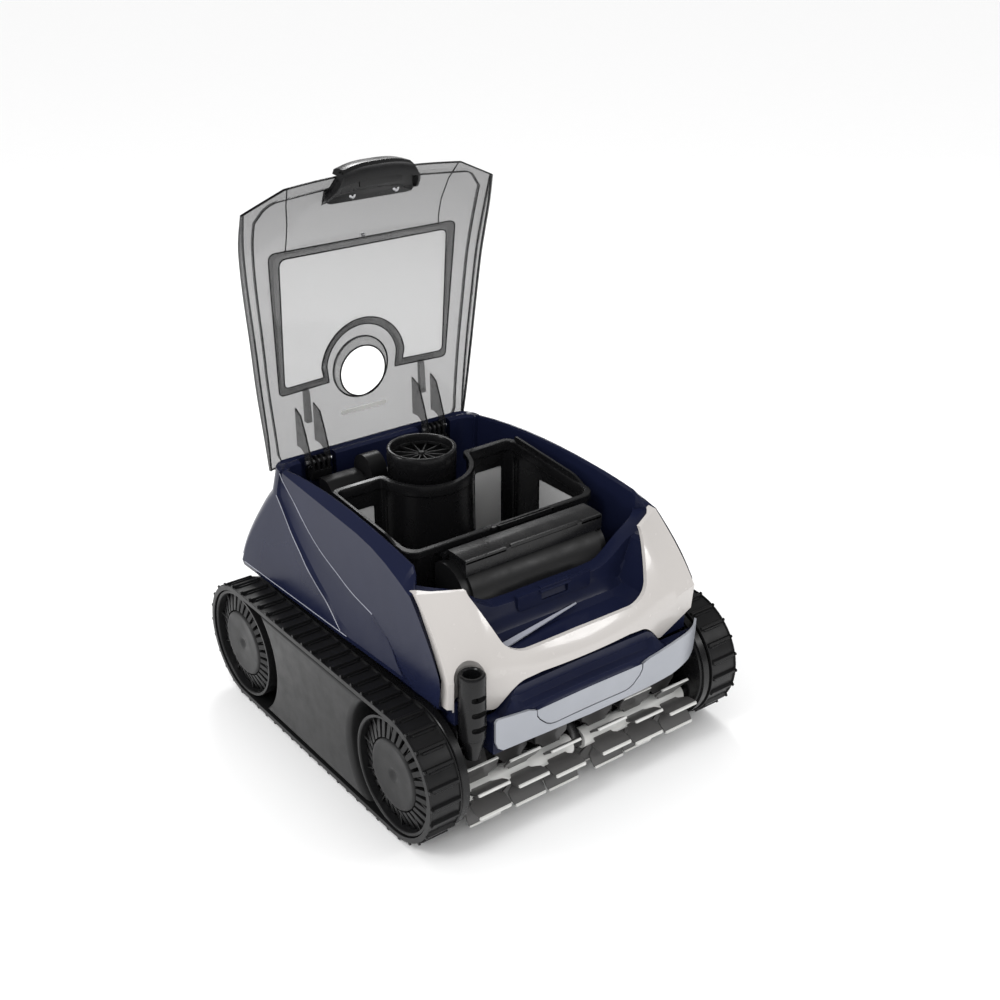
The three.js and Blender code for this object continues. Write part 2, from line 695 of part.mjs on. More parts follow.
function lidEdge(z) {
  const next = clamp(LID_EDGE.findIndex((row) => row[0] >= z), 1, LID_EDGE.length - 1);
  const [low, high] = [LID_EDGE[next - 1], LID_EDGE[next]];
  const share = (z - low[0]) / (high[0] - low[0]);
  return [1, 2, 3].map((column) => lerp(low[column], high[column], share));
}

// The lid's front edge is highest at its middle.
function lidTop(share) {
  const reach = Math.abs(share);
  const { middle, bend, bendAt } = LID;
  if (reach < bendAt) return middle - (middle - bend) * (share / bendAt) ** 2;
  return lerp(bend, LID.top, (reach - bendAt) / (1 - bendAt));
}

function lidPoint(share, along) {
  const z = lerp(LID.low, lidTop(share), along);
  const [half, edgeY] = lidEdge(Math.min(z, LID.top));
  const beyond = Math.max(z - LID.top, 0);
  const y = edgeY + LID.crown * (1 - share ** 2) - beyond * LID.nose;
  return [share * half, y, z];
}

const LID_ACROSS = [-1, -0.9, -0.7, -0.45, -0.2, 0, 0.2, 0.45, 0.7, 0.9, 1];
const LID_ALONG = [0, 0.11, 0.3, 0.5, 0.7, 0.79, 0.88, 0.96, 1];

function lidSheet(thickness) {
  const rows = LID_ALONG.map((along) => LID_ACROSS.map((share) => lidPoint(share, along)));
  return plate(rows, [0, -thickness, 0]);
}

function lidFlange(side) {
  const rows = LID_EDGE.map(([z, half, y, deep]) => {
    const outer = side * half;
    const inner = side * (half - LID.flange);
    return [[outer, y - 0.5, z], [outer, y - deep, z], [inner, y - deep, z], [inner, y - 0.5, z]];
  });
  return loft(rows, [0, 1]);
}

// Rib that frames the panel's inner face, broken by an arch round the outlet.
function lidRib() {
  const outline = (inset) => {
    const reach = LID_HOLE.arch + inset;
    const low = LID_RIB.low + inset;
    const top = LID_RIB.top - inset;
    const right = [[reach, low], [110, low], [117 - inset, 366], [115 - inset, 518], [108, top]];
    const left = right.map(([x, z]) => [-x, z]).reverse();
    return [...arc(0, LID_HOLE.z, reach - 2, 174, 6, 10), ...right, ...left].reverse();
  };
  return prism('y', outline(0), 190, 215, [outline(LID_RIB.width).reverse()]);
}

function lidHingeArm(x) {
  const reach = lidPoint(x / 142, 0.08)[1] - 1;
  const arm = [
    [reach, 341], [reach, 288], [196, 288], [188.6, 284.5], [188.5, 272],
    ...arc(HINGE.y, HINGE.z, 7, -30, -180, 4), [175.5, 283], [186, 312], [194, 336],
  ];
  const pinHole = rod('x', HINGE.y, HINGE.z, HINGE.pin + 0.6, x - 5, x + 5, 8);
  return cut(prism('x', arm, x - 1.4, x + 1.4), [pinHole]);
}

function makeLidShell() {
  const ring = rod('y', 0, LID_HOLE.z, LID_HOLE.collar, 190, 230, 20).intersect(lidSheet(7));
  const arms = [-1, 1].flatMap((side) => [-15, 15].map((off) => lidHingeArm(side * HINGE.x + off)));
  const rib = lidRib().intersect(lidSheet(LID_RIB.deep));
  const whole = join([lidSheet(LID.thick), lidFlange(-1), lidFlange(1), ring, rib, ...arms]);
  return cut(whole, [rod('y', 0, LID_HOLE.z, LID_HOLE.radius, 150, 260, 20)]);
}

const HANDLE = { half: 63, fingerHalf: 50, fingerLow: 596, fingerHigh: 616 };

// A hooded grip along the lid's front edge, open to the inside for the fingers.
function makeLidHandle() {
  const grip = [
    [172, 577], [177.5, 577], [175.5, 583.5], [165, 600], [157.5, 611.5], [157.5, 614.8],
    [172, 614.8], [172, 624], [150, 624], [147, 619], [147, 592], [164, 590],
  ];
  const body = prism('x', grip, -HANDLE.half, HANDLE.half);
  const fingers = box(-HANDLE.fingerHalf, HANDLE.fingerHalf, 130, 156, HANDLE.fingerLow, HANDLE.fingerHigh);
  return cut(body, [fingers]);
}

// ---------------------------------------------------------------- filter basket
const WINDOW = { low: 165, high: 250 };

function basketOutline(inset) {
  const r = Math.max(14 - inset, 2);
  const half = BASKET.half - inset;
  return roundedRect(-half, half, BASKET.front + inset, BASKET.rear - inset, r, 3);
}

function basketWall(out, from, to) {
  const notch = rod('z', TUBE.x, TUBE.y, BASKET.notch - out, from - 5, to + 5, 32);
  return prism('z', basketOutline(-out), from, to).subtract(notch);
}

// The rim slopes with the body: this tool takes away all that is above it, lowered by `drop`.
function aboveRim(drop) {
  const line = (y) => lerp(269, 283, (y - BASKET.front) / (BASKET.rear - BASKET.front)) - drop;
  return prism('x', [[-150, line(-150)], [150, line(150)], [150, FAR], [-150, FAR]], -FAR, FAR);
}

const BASKET_WINDOWS = {
  left: [-140, -120, -45, 20],
  right: [120, 140, -45, 20],
  rear_left: [-112, -72, 70, 90],
  rear_right: [72, 112, 70, 90],
};

function makeBasketFrame() {
  const shell = basketWall(0, BASKET.floor, 300).subtract(aboveRim(0));
  const lip = basketWall(3, 240, 300).subtract(aboveRim(0)).intersect(aboveRim(5));
  const hollow = basketWall(-BASKET.wall, BASKET.floor + 3, 320);
  const windows = Object.values(BASKET_WINDOWS).map((plan) => box(...plan, WINDOW.low, WINDOW.high));
  const inlet = box(-80, 80, MOUTH.front + 2, MOUTH.rear - 2, 100, 130);
  return cut(shell.add(lip), [hollow, ...windows, inlet]);
}

function makeBasketMesh([x0, x1, y0, y1]) {
  const onSide = y1 - y0 > x1 - x0;
  const low = WINDOW.low + GAP;
  const high = WINDOW.high - GAP;
  if (onSide) {
    const inner = Math.sign(x0) * (BASKET.half - BASKET.wall / 2);
    return box(inner - 0.7, inner + 0.7, y0 + GAP, y1 - GAP, low, high);
  }
  const middle = BASKET.rear - BASKET.wall / 2;
  return box(x0 + GAP, x1 - GAP, middle - 0.7, middle + 0.7, low, high);
}

const DUCT = { y: -100, z: 222, radius: 38.5, half: 88, back: -80.8, wall: 2.5, disc: 35.5, end: 98 };

function makeInletDuct() {
  const outline = (radius) => [...arc(DUCT.y, DUCT.z, radius, 60, 270, 12), [DUCT.back, DUCT.z - radius]];
  const discs = [-1, 1].map((side) => {
    const ends = [side * (DUCT.half - DUCT.wall), side * DUCT.end].sort((a, b) => a - b);
    return prism('x', outline(DUCT.disc), ...ends);
  });
  const skin = prism('x', outline(DUCT.radius), -DUCT.half, DUCT.half);
  const inner = DUCT.half - DUCT.wall;
  const hollow = prism('x', outline(DUCT.radius - DUCT.wall), -inner, inner);
  const open = box(-inner, inner, -90, -70, DUCT.z - 30, DUCT.z + 28);
  return join([cut(skin, [hollow, open]), ...discs]);
}

const HOOD = { half: 95, cheekWall: 2 };

// The hood over the inlet duct, which is also what the basket is lifted by.
function makeBasketHandle() {
  const hood = [
    [-80.5, 264], [-80.5, 271.5], [-108.6, 271.5], [-127.8, 270], [-127.8, 253],
    [-124.5, 253], [-124.5, 266.5], [-108, 267.5], [-84, 267.5], [-84, 264],
  ];
  const cheek = [
    [-84, 268], [-127, 268], [-127, 249.5], [-124.5, 249.5], [-117, 257], [-108, 262], [-84, 262],
  ];
  const { half, cheekWall } = HOOD;
  const cheeks = [-1, 1].map((side) => {
    const ends = [side * half, side * (half - cheekWall)].sort((a, b) => a - b);
    return prism('x', cheek, ...ends);
  });
  return join([prism('x', hood, -half, half), ...cheeks]);
}

const LATCH = { y: 152.5, z: 611, half: 28, drop: 13 };

function makeLatch() {
  const lever = box(-LATCH.half, LATCH.half, -2.2, 0.4, -LATCH.drop, 0);
  return lever.add(rod('x', 0, 0, 1.8, -LATCH.half, LATCH.half, 12));
}

// ---------------------------------------------------------------- assembly
function part(name, solid, material, position = [0, 0, 0], turn = 0) {
  const mesh = new THREE.Mesh(toGeometry(solid), material);
  mesh.name = name;
  mesh.position.set(...position);
  mesh.rotation.z = turn;
  return mesh;
}

function group(...children) {
  const holder = new THREE.Group();
  holder.add(...children);
  return holder;
}

// Places a piece that is built pointing along +X on the right side, or turned round on the left.
function onSide(name, side, solid, material, [x, y, z]) {
  const label = side > 0 ? 'right' : 'left';
  return part(`${name}_${label}`, solid, material, [side * x, y, z], side > 0 ? 0 : Math.PI);
}

function makeRunningGear(side) {
  const pieces = [
    onSide('track', side, makeTrack(), BLACK, [TRACK.inner, 0, 0]),
    onSide('side_panel', side, makeSidePanel(), GREY, [PANEL.inner, 0, 0]),
    onSide('side_frame', side, makeSideFrame(side), BLACK, [FRAME.inner, 0, 0]),
    onSide('drive_pinion', side, makePinion(), PEARL, [MOTOR.to, HALF_BASE - PINION.offset, TRACK.axleZ]),
    onSide('brush', side, makeBrush(), BRISTLE, [BRUSH.from, BRUSH.y, BRUSH.z]),
    onSide('hinge_bracket', side, makeHingeBracket(), BLACK, [HINGE.x, HINGE.y, HINGE.z]),
  ];
  [['front', -HALF_BASE], ['rear', HALF_BASE]].forEach(([end, y]) => {
    const axle = rod('x', 0, 0, AXLE.radius, 0, AXLE.to - AXLE.from, 20);
    const capX = WHEEL.inner + WHEEL.width - 8 + GAP;
    pieces.push(
      onSide(`wheel_${end}`, side, makeWheel(), BLACK, [WHEEL.inner, y, TRACK.axleZ]),
      onSide(`hub_cap_${end}`, side, makeHubCap(), GREY, [capX, y, TRACK.axleZ]),
      onSide(`axle_${end}`, side, axle, STEEL, [AXLE.from, y, TRACK.axleZ]),
    );
  });
  return group(...pieces);
}

function makeMotors() {
  const y = HALF_BASE - PINION.offset;
  const drive = (name, from, to) => part(name, rod('x', y, TRACK.axleZ, MOTOR.radius, from, to, 20), BLACK);
  const neck = rod('z', TUBE.x, TUBE.y, TUBE.radius + 4, BAY.low - 1.5, TUBE.low - GAP, 32);
  const block = box(-55, 55, 30, 140, TUB.floor + 4.3, BAY.low - GAP).add(neck);
  return group(
    drive('drive_motor_left', -MOTOR.to, -MOTOR.from),
    drive('drive_motor_right', MOTOR.from, MOTOR.to),
    part('pump_motor', block, BLACK),
    part('pump_shaft', rod('z', 0, 0, 3.4, 0, 92, 12), STEEL, [TUBE.x, TUBE.y, TUBE.low + GAP]),
    part('propeller', makePropeller(), BRISTLE, [TUBE.x, TUBE.y, 200]),
    part('outlet_tube', makeOutletTube(), BLACK, [TUBE.x, TUBE.y, TUBE.low]),
    part('outlet_grille', makeOutletGrille(), BLACK, [TUBE.x, TUBE.y, 291.5]),
    part('rear_manifold', makeRearManifold(), BLACK),
  );
}

function makeBody() {
  const shaft = rod('x', BRUSH.y, BRUSH.z, 4, -FRAME.outer + 1, FRAME.outer - 1, 12);
  return group(
    part('chassis_base', makeChassis(), BLACK),
    part('bay_floor', makeBayFloor(), BLACK),
    part('intake_duct', makeIntakeDuct(), BLACK),
    part('inlet_flap', makeInletFlap(), BLACK, [0, FLAP.y, FLAP.z]),
    part('body_shell', makeBodyShell(), NAVY),
    part('front_tray', makeFrontTray(), NAVY),
    part('lid_catch', makeLidCatch(), NAVY),
    part('bezel', makeBezel(), PEARL),
    part('front_skirt', makeFrontSkirt(), NAVY),
    part('bumper', makeBumper(), SILVER),
    part('bumper_insert', makeBumperInsert(), SILVER),
    part('cable_gland', makeGland(), BLACK, [GLAND.x, GLAND.y, GLAND.low]),
    part('comb_plate', makeCombPlate(), BLACK),
    part('brush_shaft', shaft, STEEL),
    part('brush_support', makeBrushSupport(), BLACK),
  );
}

function makeLid() {
  const pins = [-1, 1].map((side) => {
    const name = `hinge_pin_${side > 0 ? 'right' : 'left'}`;
    return part(name, rod('x', 0, 0, HINGE.pin, -17.5, 17.5, 8), STEEL, [side * HINGE.x, HINGE.y, HINGE.z]);
  });
  return group(
    part('lid_shell', makeLidShell(), SMOKE),
    part('lid_handle', makeLidHandle(), BLACK),
    part('lid_latch', makeLatch(), BLACK, [0, LATCH.y, LATCH.z]),
    ...pins,
  );
}

function makeBasket() {
  const panels = Object.entries(BASKET_WINDOWS).map(([at, window]) => (
    part(`filter_mesh_${at}`, makeBasketMesh(window), MESH)
  ));
  return group(
    part('basket_frame', makeBasketFrame(), BLACK),
    part('basket_handle', makeBasketHandle(), BLACK),
    part('inlet_duct', makeInletDuct(), BLACK),
    ...panels,
  );
}

export default group(
  makeBody(),
  makeRunningGear(-1),
  makeRunningGear(1),
  makeMotors(),
  makeBasket(),
  makeLid(),
);
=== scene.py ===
"""Looks of the tracked pool cleaner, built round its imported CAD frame.

Lengths are in millimetres and angles in degrees, unless a name ends in _m. The front of the machine faces -Y.
"""

import math

import bmesh
import bpy
from mathutils import Matrix, Vector
from mathutils.geometry import tessellate_polygon


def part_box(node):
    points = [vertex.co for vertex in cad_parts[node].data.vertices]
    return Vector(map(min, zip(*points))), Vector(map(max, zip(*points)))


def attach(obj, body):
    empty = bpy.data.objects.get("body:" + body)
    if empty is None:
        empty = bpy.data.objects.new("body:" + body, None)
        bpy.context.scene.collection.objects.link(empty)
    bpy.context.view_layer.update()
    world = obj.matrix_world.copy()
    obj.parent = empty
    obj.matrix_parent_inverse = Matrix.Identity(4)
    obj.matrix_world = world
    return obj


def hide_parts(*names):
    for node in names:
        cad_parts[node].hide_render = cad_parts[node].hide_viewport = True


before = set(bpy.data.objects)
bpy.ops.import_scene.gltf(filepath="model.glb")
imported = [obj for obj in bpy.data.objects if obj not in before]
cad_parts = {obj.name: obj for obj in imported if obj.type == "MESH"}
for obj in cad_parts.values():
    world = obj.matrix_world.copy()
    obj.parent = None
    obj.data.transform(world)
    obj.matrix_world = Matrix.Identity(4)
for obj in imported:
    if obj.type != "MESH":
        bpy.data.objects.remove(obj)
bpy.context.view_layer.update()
MM = 0.001
SIDES = {"left": -1, "right": 1}


def box_of(node):
    """Lowest and highest corner of a CAD node, in millimetres."""
    low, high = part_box(node)
    return low / MM, high / MM


def lerp(a, b, t):
    return a + (b - a) * t


def clamp(value, low, high):
    return max(low, min(high, value))


def evenly(start, end, count):
    """Values from start to end, equally far apart."""
    return [lerp(start, end, i / (count - 1)) for i in range(count)]


def smooth_step(value):
    t = clamp(value, 0, 1)
    return t * t * (3 - 2 * t)


def curve_through(points):
    """A smooth function through (input, output) pairs sorted by input."""
    xs = [p[0] for p in points]
    ys = [p[1] for p in points]
    slopes = [(ys[i + 1] - ys[i]) / (xs[i + 1] - xs[i]) for i in range(len(xs) - 1)]
    tangents = [slopes[0], *[(a + b) / 2 for a, b in zip(slopes, slopes[1:])], slopes[-1]]

    def value(x):
        if x <= xs[0]:
            return ys[0] + (x - xs[0]) * tangents[0]
        if x >= xs[-1]:
            return ys[-1] + (x - xs[-1]) * tangents[-1]
        i = max(k for k in range(len(xs) - 1) if xs[k] <= x)
        h = xs[i + 1] - xs[i]
        t = (x - xs[i]) / h
        rise = ys[i] * (2 * t**3 - 3 * t**2 + 1) + ys[i + 1] * (3 * t**2 - 2 * t**3)
        return rise + h * (tangents[i] * (t**3 - 2 * t**2 + t) + tangents[i + 1] * (t**3 - t**2))

    return value


# ---------------------------------------------------------------- outlines in a plane
def arc(a, b, radius, start, end, steps):
    angles = [math.radians(lerp(start, end, i / steps)) for i in range(steps + 1)]
    return [(a + radius * math.cos(t), b + radius * math.sin(t)) for t in angles]


def circle(a, b, radius, steps=48):
    return arc(a, b, radius, 0, 360, steps)[:-1]


def rounded(points, radius, steps=5):
    """A closed outline with every corner rounded. radius is one number, or one for each corner."""
    out = []
    count = len(points)
    for i, point in enumerate(points):
        corner = Vector(point)
        size = radius if isinstance(radius, (int, float)) else radius[i]
        before = Vector(points[i - 1]) - corner
        after = Vector(points[(i + 1) % count]) - corner
        reach = min(size, before.length * 0.45, after.length * 0.45)
        start = corner + before.normalized() * reach
        end = corner + after.normalized() * reach
        for k in range(steps + 1):
            t = k / steps
            out.append(tuple(start * (1 - t) ** 2 + corner * 2 * t * (1 - t) + end * t**2))
    return out


# ---------------------------------------------------------------- meshes
PLANES = {"x": (1, 2, 0), "y": (0, 2, 1), "z": (0, 1, 2)}


def place(axis, a, b, along):
    """A point from its two numbers in a plane and its distance along the plane's axis."""
    point = [0, 0, 0]
    for index, value in zip(PLANES[axis], (a, b, along)):
        point[index] = value
    return tuple(point)


class Shape:
    """Closed surfaces gathered into one mesh."""

    def __init__(self):
        self.verts = []
        self.faces = []

    def add(self, verts, faces):
        base = len(self.verts)
        self.verts += verts
        self.faces += [tuple(base + i for i in face) for face in faces]
        return self

    def grid(self, rows, loop_rows=False, loop_columns=False, caps=False):
        """Quads through rows of points. caps closes the first and last row with one face each."""
        high, wide = len(rows), len(rows[0])
        faces = []
        for r in range(high if loop_rows else high - 1):
            for c in range(wide if loop_columns else wide - 1):
                r2, c2 = (r + 1) % high, (c + 1) % wide
                faces.append((r * wide + c, r * wide + c2, r2 * wide + c2, r2 * wide + c))
        if caps:
            faces.append(tuple(range(wide))[::-1])
            faces.append(tuple((high - 1) * wide + c for c in range(wide)))
        return self.add([tuple(p) for row in rows for p in row], faces)

    def loft(self, rings):
        return self.grid(rings, loop_columns=True, caps=True)

    def slab(self, axis, outline, low, high, holes=()):
        """A flat plate of an outline with holes, from low to high along its axis."""
        loops = [list(outline), *[list(hole) for hole in holes]]
        flat = [p for loop in loops for p in loop]
        count = len(flat)
        verts = [place(axis, a, b, low) for a, b in flat] + [place(axis, a, b, high) for a, b in flat]
        triangles = tessellate_polygon([[Vector((a, b, 0)) for a, b in loop] for loop in loops])
        faces = [(a, b, c) for a, b, c in triangles]
        faces += [(c + count, b + count, a + count) for a, b, c in triangles]
        start = 0
        for loop in loops:
            size = len(loop)
            for i in range(size):
                a, b = start + i, start + (i + 1) % size
                faces.append((a, b, b + count, a + count))
            start += size
        return self.add(verts, faces)

    def box(self, x0, x1, y0, y1, z0, z1):
        return self.slab("z", [(x0, y0), (x1, y0), (x1, y1), (x0, y1)], z0, z1)

    def block(self, corners):
        """Eight corners, four round one end and four round the other."""
        return self.grid([corners[:4], corners[4:]], loop_columns=True, caps=True)

    def turned(self, axis, centre, profile, steps=64):
        """A solid of revolution. profile is a closed loop of (radius, distance along the axis)."""
        rings = []
        for i in range(steps):
            angle = math.tau * i / steps
            rings.append([
                place(axis, centre[0] + r * math.cos(angle), centre[1] + r * math.sin(angle), along)
                for r, along in profile
            ])
        return self.grid(rings, loop_rows=True, loop_columns=True)

    def cord(self, points, radius, sides=8):
        """A thin round rib along a line of points."""
        rings = []
        path = [Vector(p) for p in points]
        for i, point in enumerate(path):
            ahead = path[min(i + 1, len(path) - 1)] - path[max(i - 1, 0)]
            side = ahead.cross(Vector((0.31, 0.87, 0.39))).normalized()
            up = side.cross(ahead).normalized()
            turn = [math.tau * k / sides for k in range(sides)]
            rings.append([tuple(point + (side * math.cos(t) + up * math.sin(t)) * radius) for t in turn])
        return self.grid(rings, loop_columns=True, caps=True)

    def moved(self, matrix):
        self.verts = [tuple(matrix @ Vector(v)) for v in self.verts]
        return self

    def mesh(self, name):
        mesh = bpy.data.meshes.new(name)
        mesh.from_pydata([tuple(c * MM for c in v) for v in self.verts], [], self.faces)
        work = bmesh.new()
        work.from_mesh(mesh)
        bmesh.ops.remove_doubles(work, verts=work.verts, dist=0.002 * MM)
        bmesh.ops.dissolve_degenerate(work, edges=work.edges, dist=0.002 * MM)
        bmesh.ops.recalc_face_normals(work, faces=work.faces)
        work.to_mesh(mesh)
        work.free()
        return mesh


def link(name, mesh):
    made = bpy.data.objects.new(name, mesh)
    bpy.context.scene.collection.objects.link(made)
    return made


def carved(name, shape, cutters):
    """The mesh of a shape with other shapes cut away."""
    body = link(name, shape.mesh(name))
    tools = []
    for i, cutter in enumerate(cutters):
        tool = link(f"{name}_cutter_{i}", cutter.mesh(f"{name}_cutter_{i}"))
        tools.append(tool)
        step = body.modifiers.new(f"cut_{i}", "BOOLEAN")
        step.operation = "DIFFERENCE"
        step.solver = "EXACT"
        step.object = tool
    graph = bpy.context.evaluated_depsgraph_get()
    mesh = bpy.data.meshes.new_from_object(body.evaluated_get(graph))
    for made in [body, *tools]:
        bpy.data.objects.remove(made)
    return mesh


def round_edges(target, width, limit=30, segments=2):
    bevel = target.modifiers.new("edges", "BEVEL")
    bevel.width = width * MM
    bevel.segments = segments
    bevel.limit_method = "ANGLE"
    bevel.angle_limit = math.radians(limit)
    bevel.harden_normals = True
    bevel.use_clamp_overlap = True


def piece(name, form, material, body, replaces=(), edge=0.6, limit=30, segments=2):
    """A finished piece: smooth faces, rounded edges, its material, its body and the nodes it stands for."""
    mesh = form.mesh(name) if isinstance(form, Shape) else form
    mesh.materials.clear()
    mesh.materials.append(material)
    mesh.shade_smooth()
    made = link(name, mesh)
    if edge:
        round_edges(made, edge, limit, segments)
    else:
        mesh.set_sharp_from_angle(angle=math.radians(limit))
    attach(made, body)
    if replaces:
        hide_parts(*replaces)
    return made


def keep_node(name, material, edge=0.6):
    """A CAD node that stays: clean flat faces, rounded edges and its own material."""
    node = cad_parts[name]
    node.data.materials.clear()
    node.data.materials.append(material)
    weld = node.modifiers.new("weld", "WELD")
    weld.merge_threshold = 0.005 * MM
    flatten = node.modifiers.new("flatten", "DECIMATE")
    flatten.decimate_type = "DISSOLVE"
    flatten.angle_limit = math.radians(1)
    round_edges(node, edge, 32)
    node.data.shade_smooth()


# ---------------------------------------------------------------- materials
def new_material(name):
    material = bpy.data.materials.new(name)
    material.use_nodes = True
    tree = material.node_tree
    shader = tree.nodes["Principled BSDF"]
    where = tree.nodes.new("ShaderNodeTexCoord")
    return material, tree, shader, where.outputs["Object"]


def noise_of(tree, where, scale, detail=3):
    noise = tree.nodes.new("ShaderNodeTexNoise")
    noise.inputs["Scale"].default_value = scale
    noise.inputs["Detail"].default_value = detail
    tree.links.new(where, noise.inputs["Vector"])
    return noise.outputs["Fac"]


def spread(tree, source, low, high, source_low=0.3, source_high=0.7):
    scaled = tree.nodes.new("ShaderNodeMapRange")
    ends = {"From Min": source_low, "From Max": source_high, "To Min": low, "To Max": high}
    for socket, value in ends.items():
        scaled.inputs[socket].default_value = value
    tree.links.new(source, scaled.inputs["Value"])
    return scaled.outputs["Result"]


def two_tone(tree, source, dark, light):
    mix = tree.nodes.new("ShaderNodeMix")
    mix.data_type = "RGBA"
    tree.links.new(source, mix.inputs["Factor"])
    mix.inputs["A"].default_value = (*dark, 1)
    mix.inputs["B"].default_value = (*light, 1)
    return mix.outputs["Result"]


def add_bump(tree, shader, source, strength, distance):
    bump = tree.nodes.new("ShaderNodeBump")
    bump.inputs["Strength"].default_value = strength
    bump.inputs["Distance"].default_value = distance * MM
    tree.links.new(source, bump.inputs["Height"])
    tree.links.new(bump.outputs["Normal"], shader.inputs["Normal"])


def moulded(name, colour, roughness, vary=0.08, grain=0.15, grain_scale=1500, metallic=0, coat=0, alpha=1,
            level=0.5):
    """Moulded plastic: slight cloudiness in colour and gloss over a fine surface grain."""
    material, tree, shader, where = new_material(name)
    cloud = noise_of(tree, where, 14)
    dark = [c * (1 - vary) for c in colour]
    light = [c * (1 + vary) for c in colour]
    tree.links.new(two_tone(tree, spread(tree, cloud, 0, 1), dark, light), shader.inputs["Base Color"])
    gloss = spread(tree, noise_of(tree, where, 60), roughness * 0.85, roughness * 1.15)
    tree.links.new(gloss, shader.inputs["Roughness"])
    add_bump(tree, shader, noise_of(tree, where, grain_scale, 2), grain, 0.05)
    shader.inputs["Metallic"].default_value = metallic
    shader.inputs["Coat Weight"].default_value = coat
    shader.inputs["Coat Roughness"].default_value = 0.04
    shader.inputs["Alpha"].default_value = alpha
    shader.inputs["Specular IOR Level"].default_value = level
    return material


def woven(name, colour, pitch):
    """Fine filter cloth: two crossed sets of threads."""
    material, tree, shader, where = new_material(name)
    split = tree.nodes.new("ShaderNodeSeparateXYZ")
    tree.links.new(where, split.inputs["Vector"])
    across = tree.nodes.new("ShaderNodeMath")
    across.operation = "ADD"
    tree.links.new(split.outputs["X"], across.inputs[0])
    tree.links.new(split.outputs["Y"], across.inputs[1])
    waves = []
    for source in (across.outputs["Value"], split.outputs["Z"]):
        scale = tree.nodes.new("ShaderNodeMath")
        scale.operation = "MULTIPLY"
        scale.inputs[1].default_value = math.tau / (pitch * MM)
        tree.links.new(source, scale.inputs[0])
        wave = tree.nodes.new("ShaderNodeMath")
        wave.operation = "SINE"
        tree.links.new(scale.outputs["Value"], wave.inputs[0])
        waves.append(wave.outputs["Value"])
    weave = tree.nodes.new("ShaderNodeMath")
    weave.operation = "MAXIMUM"
    tree.links.new(waves[0], weave.inputs[0])
    tree.links.new(waves[1], weave.inputs[1])
    thread = spread(tree, weave.outputs["Value"], 0, 1, -0.6, 1)
    dark = [c * 0.72 for c in colour]
    tree.links.new(two_tone(tree, thread, dark, colour), shader.inputs["Base Color"])
    shader.inputs["Roughness"].default_value = 0.75
    shader.inputs["Sheen Weight"].default_value = 0.2
    add_bump(tree, shader, thread, 0.5, 0.2)
    return material


def brushed(name, colour, roughness):
    """Ground steel: fine lines along X."""
    material, tree, shader, where = new_material(name)
    stretch = tree.nodes.new("ShaderNodeMapping")
    stretch.inputs["Scale"].default_value = (30, 900, 900)
    tree.links.new(where, stretch.inputs["Vector"])
    lines = noise_of(tree, stretch.outputs["Vector"], 1)
    tree.links.new(two_tone(tree, lines, [c * 0.8 for c in colour], colour), shader.inputs["Base Color"])
    tree.links.new(spread(tree, lines, roughness * 0.7, roughness * 1.4), shader.inputs["Roughness"])
    shader.inputs["Metallic"].default_value = 1
    return material


NAVY = moulded("navy_shell", (0.0085, 0.011, 0.031), 0.22, vary=0.06, grain=0.02, level=0.15)
# Pale grey-blue for painted highlights: the cords on the shell's creases and the strip on the bowl's floor.
PAINTED_HIGHLIGHT = moulded("crease_edge", (0.30, 0.31, 0.36), 0.22, vary=0.04, grain=0.02)
PEARL = moulded("pearl_bezel", (0.52, 0.495, 0.475), 0.24, vary=0.015, grain=0.03, coat=0.3)
SILVER = moulded("silver_bumper", (0.36, 0.375, 0.41), 0.34, vary=0.05, grain=0.12, grain_scale=2600,
                 metallic=0.3)
BLACK = moulded("black_plastic", (0.0065, 0.0065, 0.007), 0.26, grain=0.015, level=0.32)
SATIN = moulded("black_satin", (0.009, 0.009, 0.0095), 0.38, grain=0.03, level=0.3)
RUBBER = moulded("track_rubber", (0.0085, 0.0085, 0.009), 0.36, vary=0.15, grain=0.15, grain_scale=900,
                 level=0.26)
GREY = moulded("grey_plastic", (0.023, 0.023, 0.0235), 0.4, grain=0.05, level=0.24)
CAP_GREY = moulded("cap_grey", (0.017, 0.017, 0.0175), 0.42, grain=0.05, level=0.22)
PALE = moulded("brush_core", (0.62, 0.62, 0.60), 0.35, vary=0.05)
BLADE = moulded("brush_blade", (0.085, 0.083, 0.082), 0.38, vary=0.12, coat=0.3)
WHITE = moulded("white_plastic", (0.62, 0.62, 0.60), 0.4)
SMOKE = moulded("smoked_clear", (0.07, 0.07, 0.072), 0.07, vary=0.04, grain=0.01, alpha=0.46)
SMOKE_THIN = moulded("smoked_thin", (0.05, 0.05, 0.051), 0.1, vary=0.04, grain=0.01, alpha=0.37)
SMOKE_WALL = moulded("smoked_wall", (0.035, 0.035, 0.036), 0.1, vary=0.05, grain=0.01, alpha=0.55)
# Near-black, nearly opaque smoke for painted shade where the clear sheets are seen edge on.
EDGE_SHADE = moulded("painted_edge_shade", (0.006, 0.006, 0.0065), 0.12, vary=0.05, grain=0.01, alpha=0.93,
                     level=0.3)
CLOTH = woven("filter_mesh", (0.50, 0.50, 0.50), 0.9)
STEEL = brushed("bright_steel", (0.62, 0.62, 0.64), 0.28)


# ---------------------------------------------------------------- tracks and wheels
TRACK_LOW, TRACK_HIGH = box_of("track_right")
AXLE_Z = (TRACK_LOW.z + TRACK_HIGH.z) / 2
TIP = (TRACK_HIGH.z - TRACK_LOW.z) / 2
HALF_BASE = TRACK_HIGH.y - TIP
BELT = {
    "base": 71.2, "bore": 67, "rail": 1.7, "lugs_straight": 16, "lugs_arc": 11,
    "inner": TRACK_LOW.x, "outer": TRACK_HIGH.x,
}
SCOOP = 82
WHEEL = {
    "rim": 62.2, "fin_in": 41, "fins": 30, "back": 197, "bore": 9, "hub": 20, "web": 54, "dish": 14,
    "cap_seat": 8.4,
}


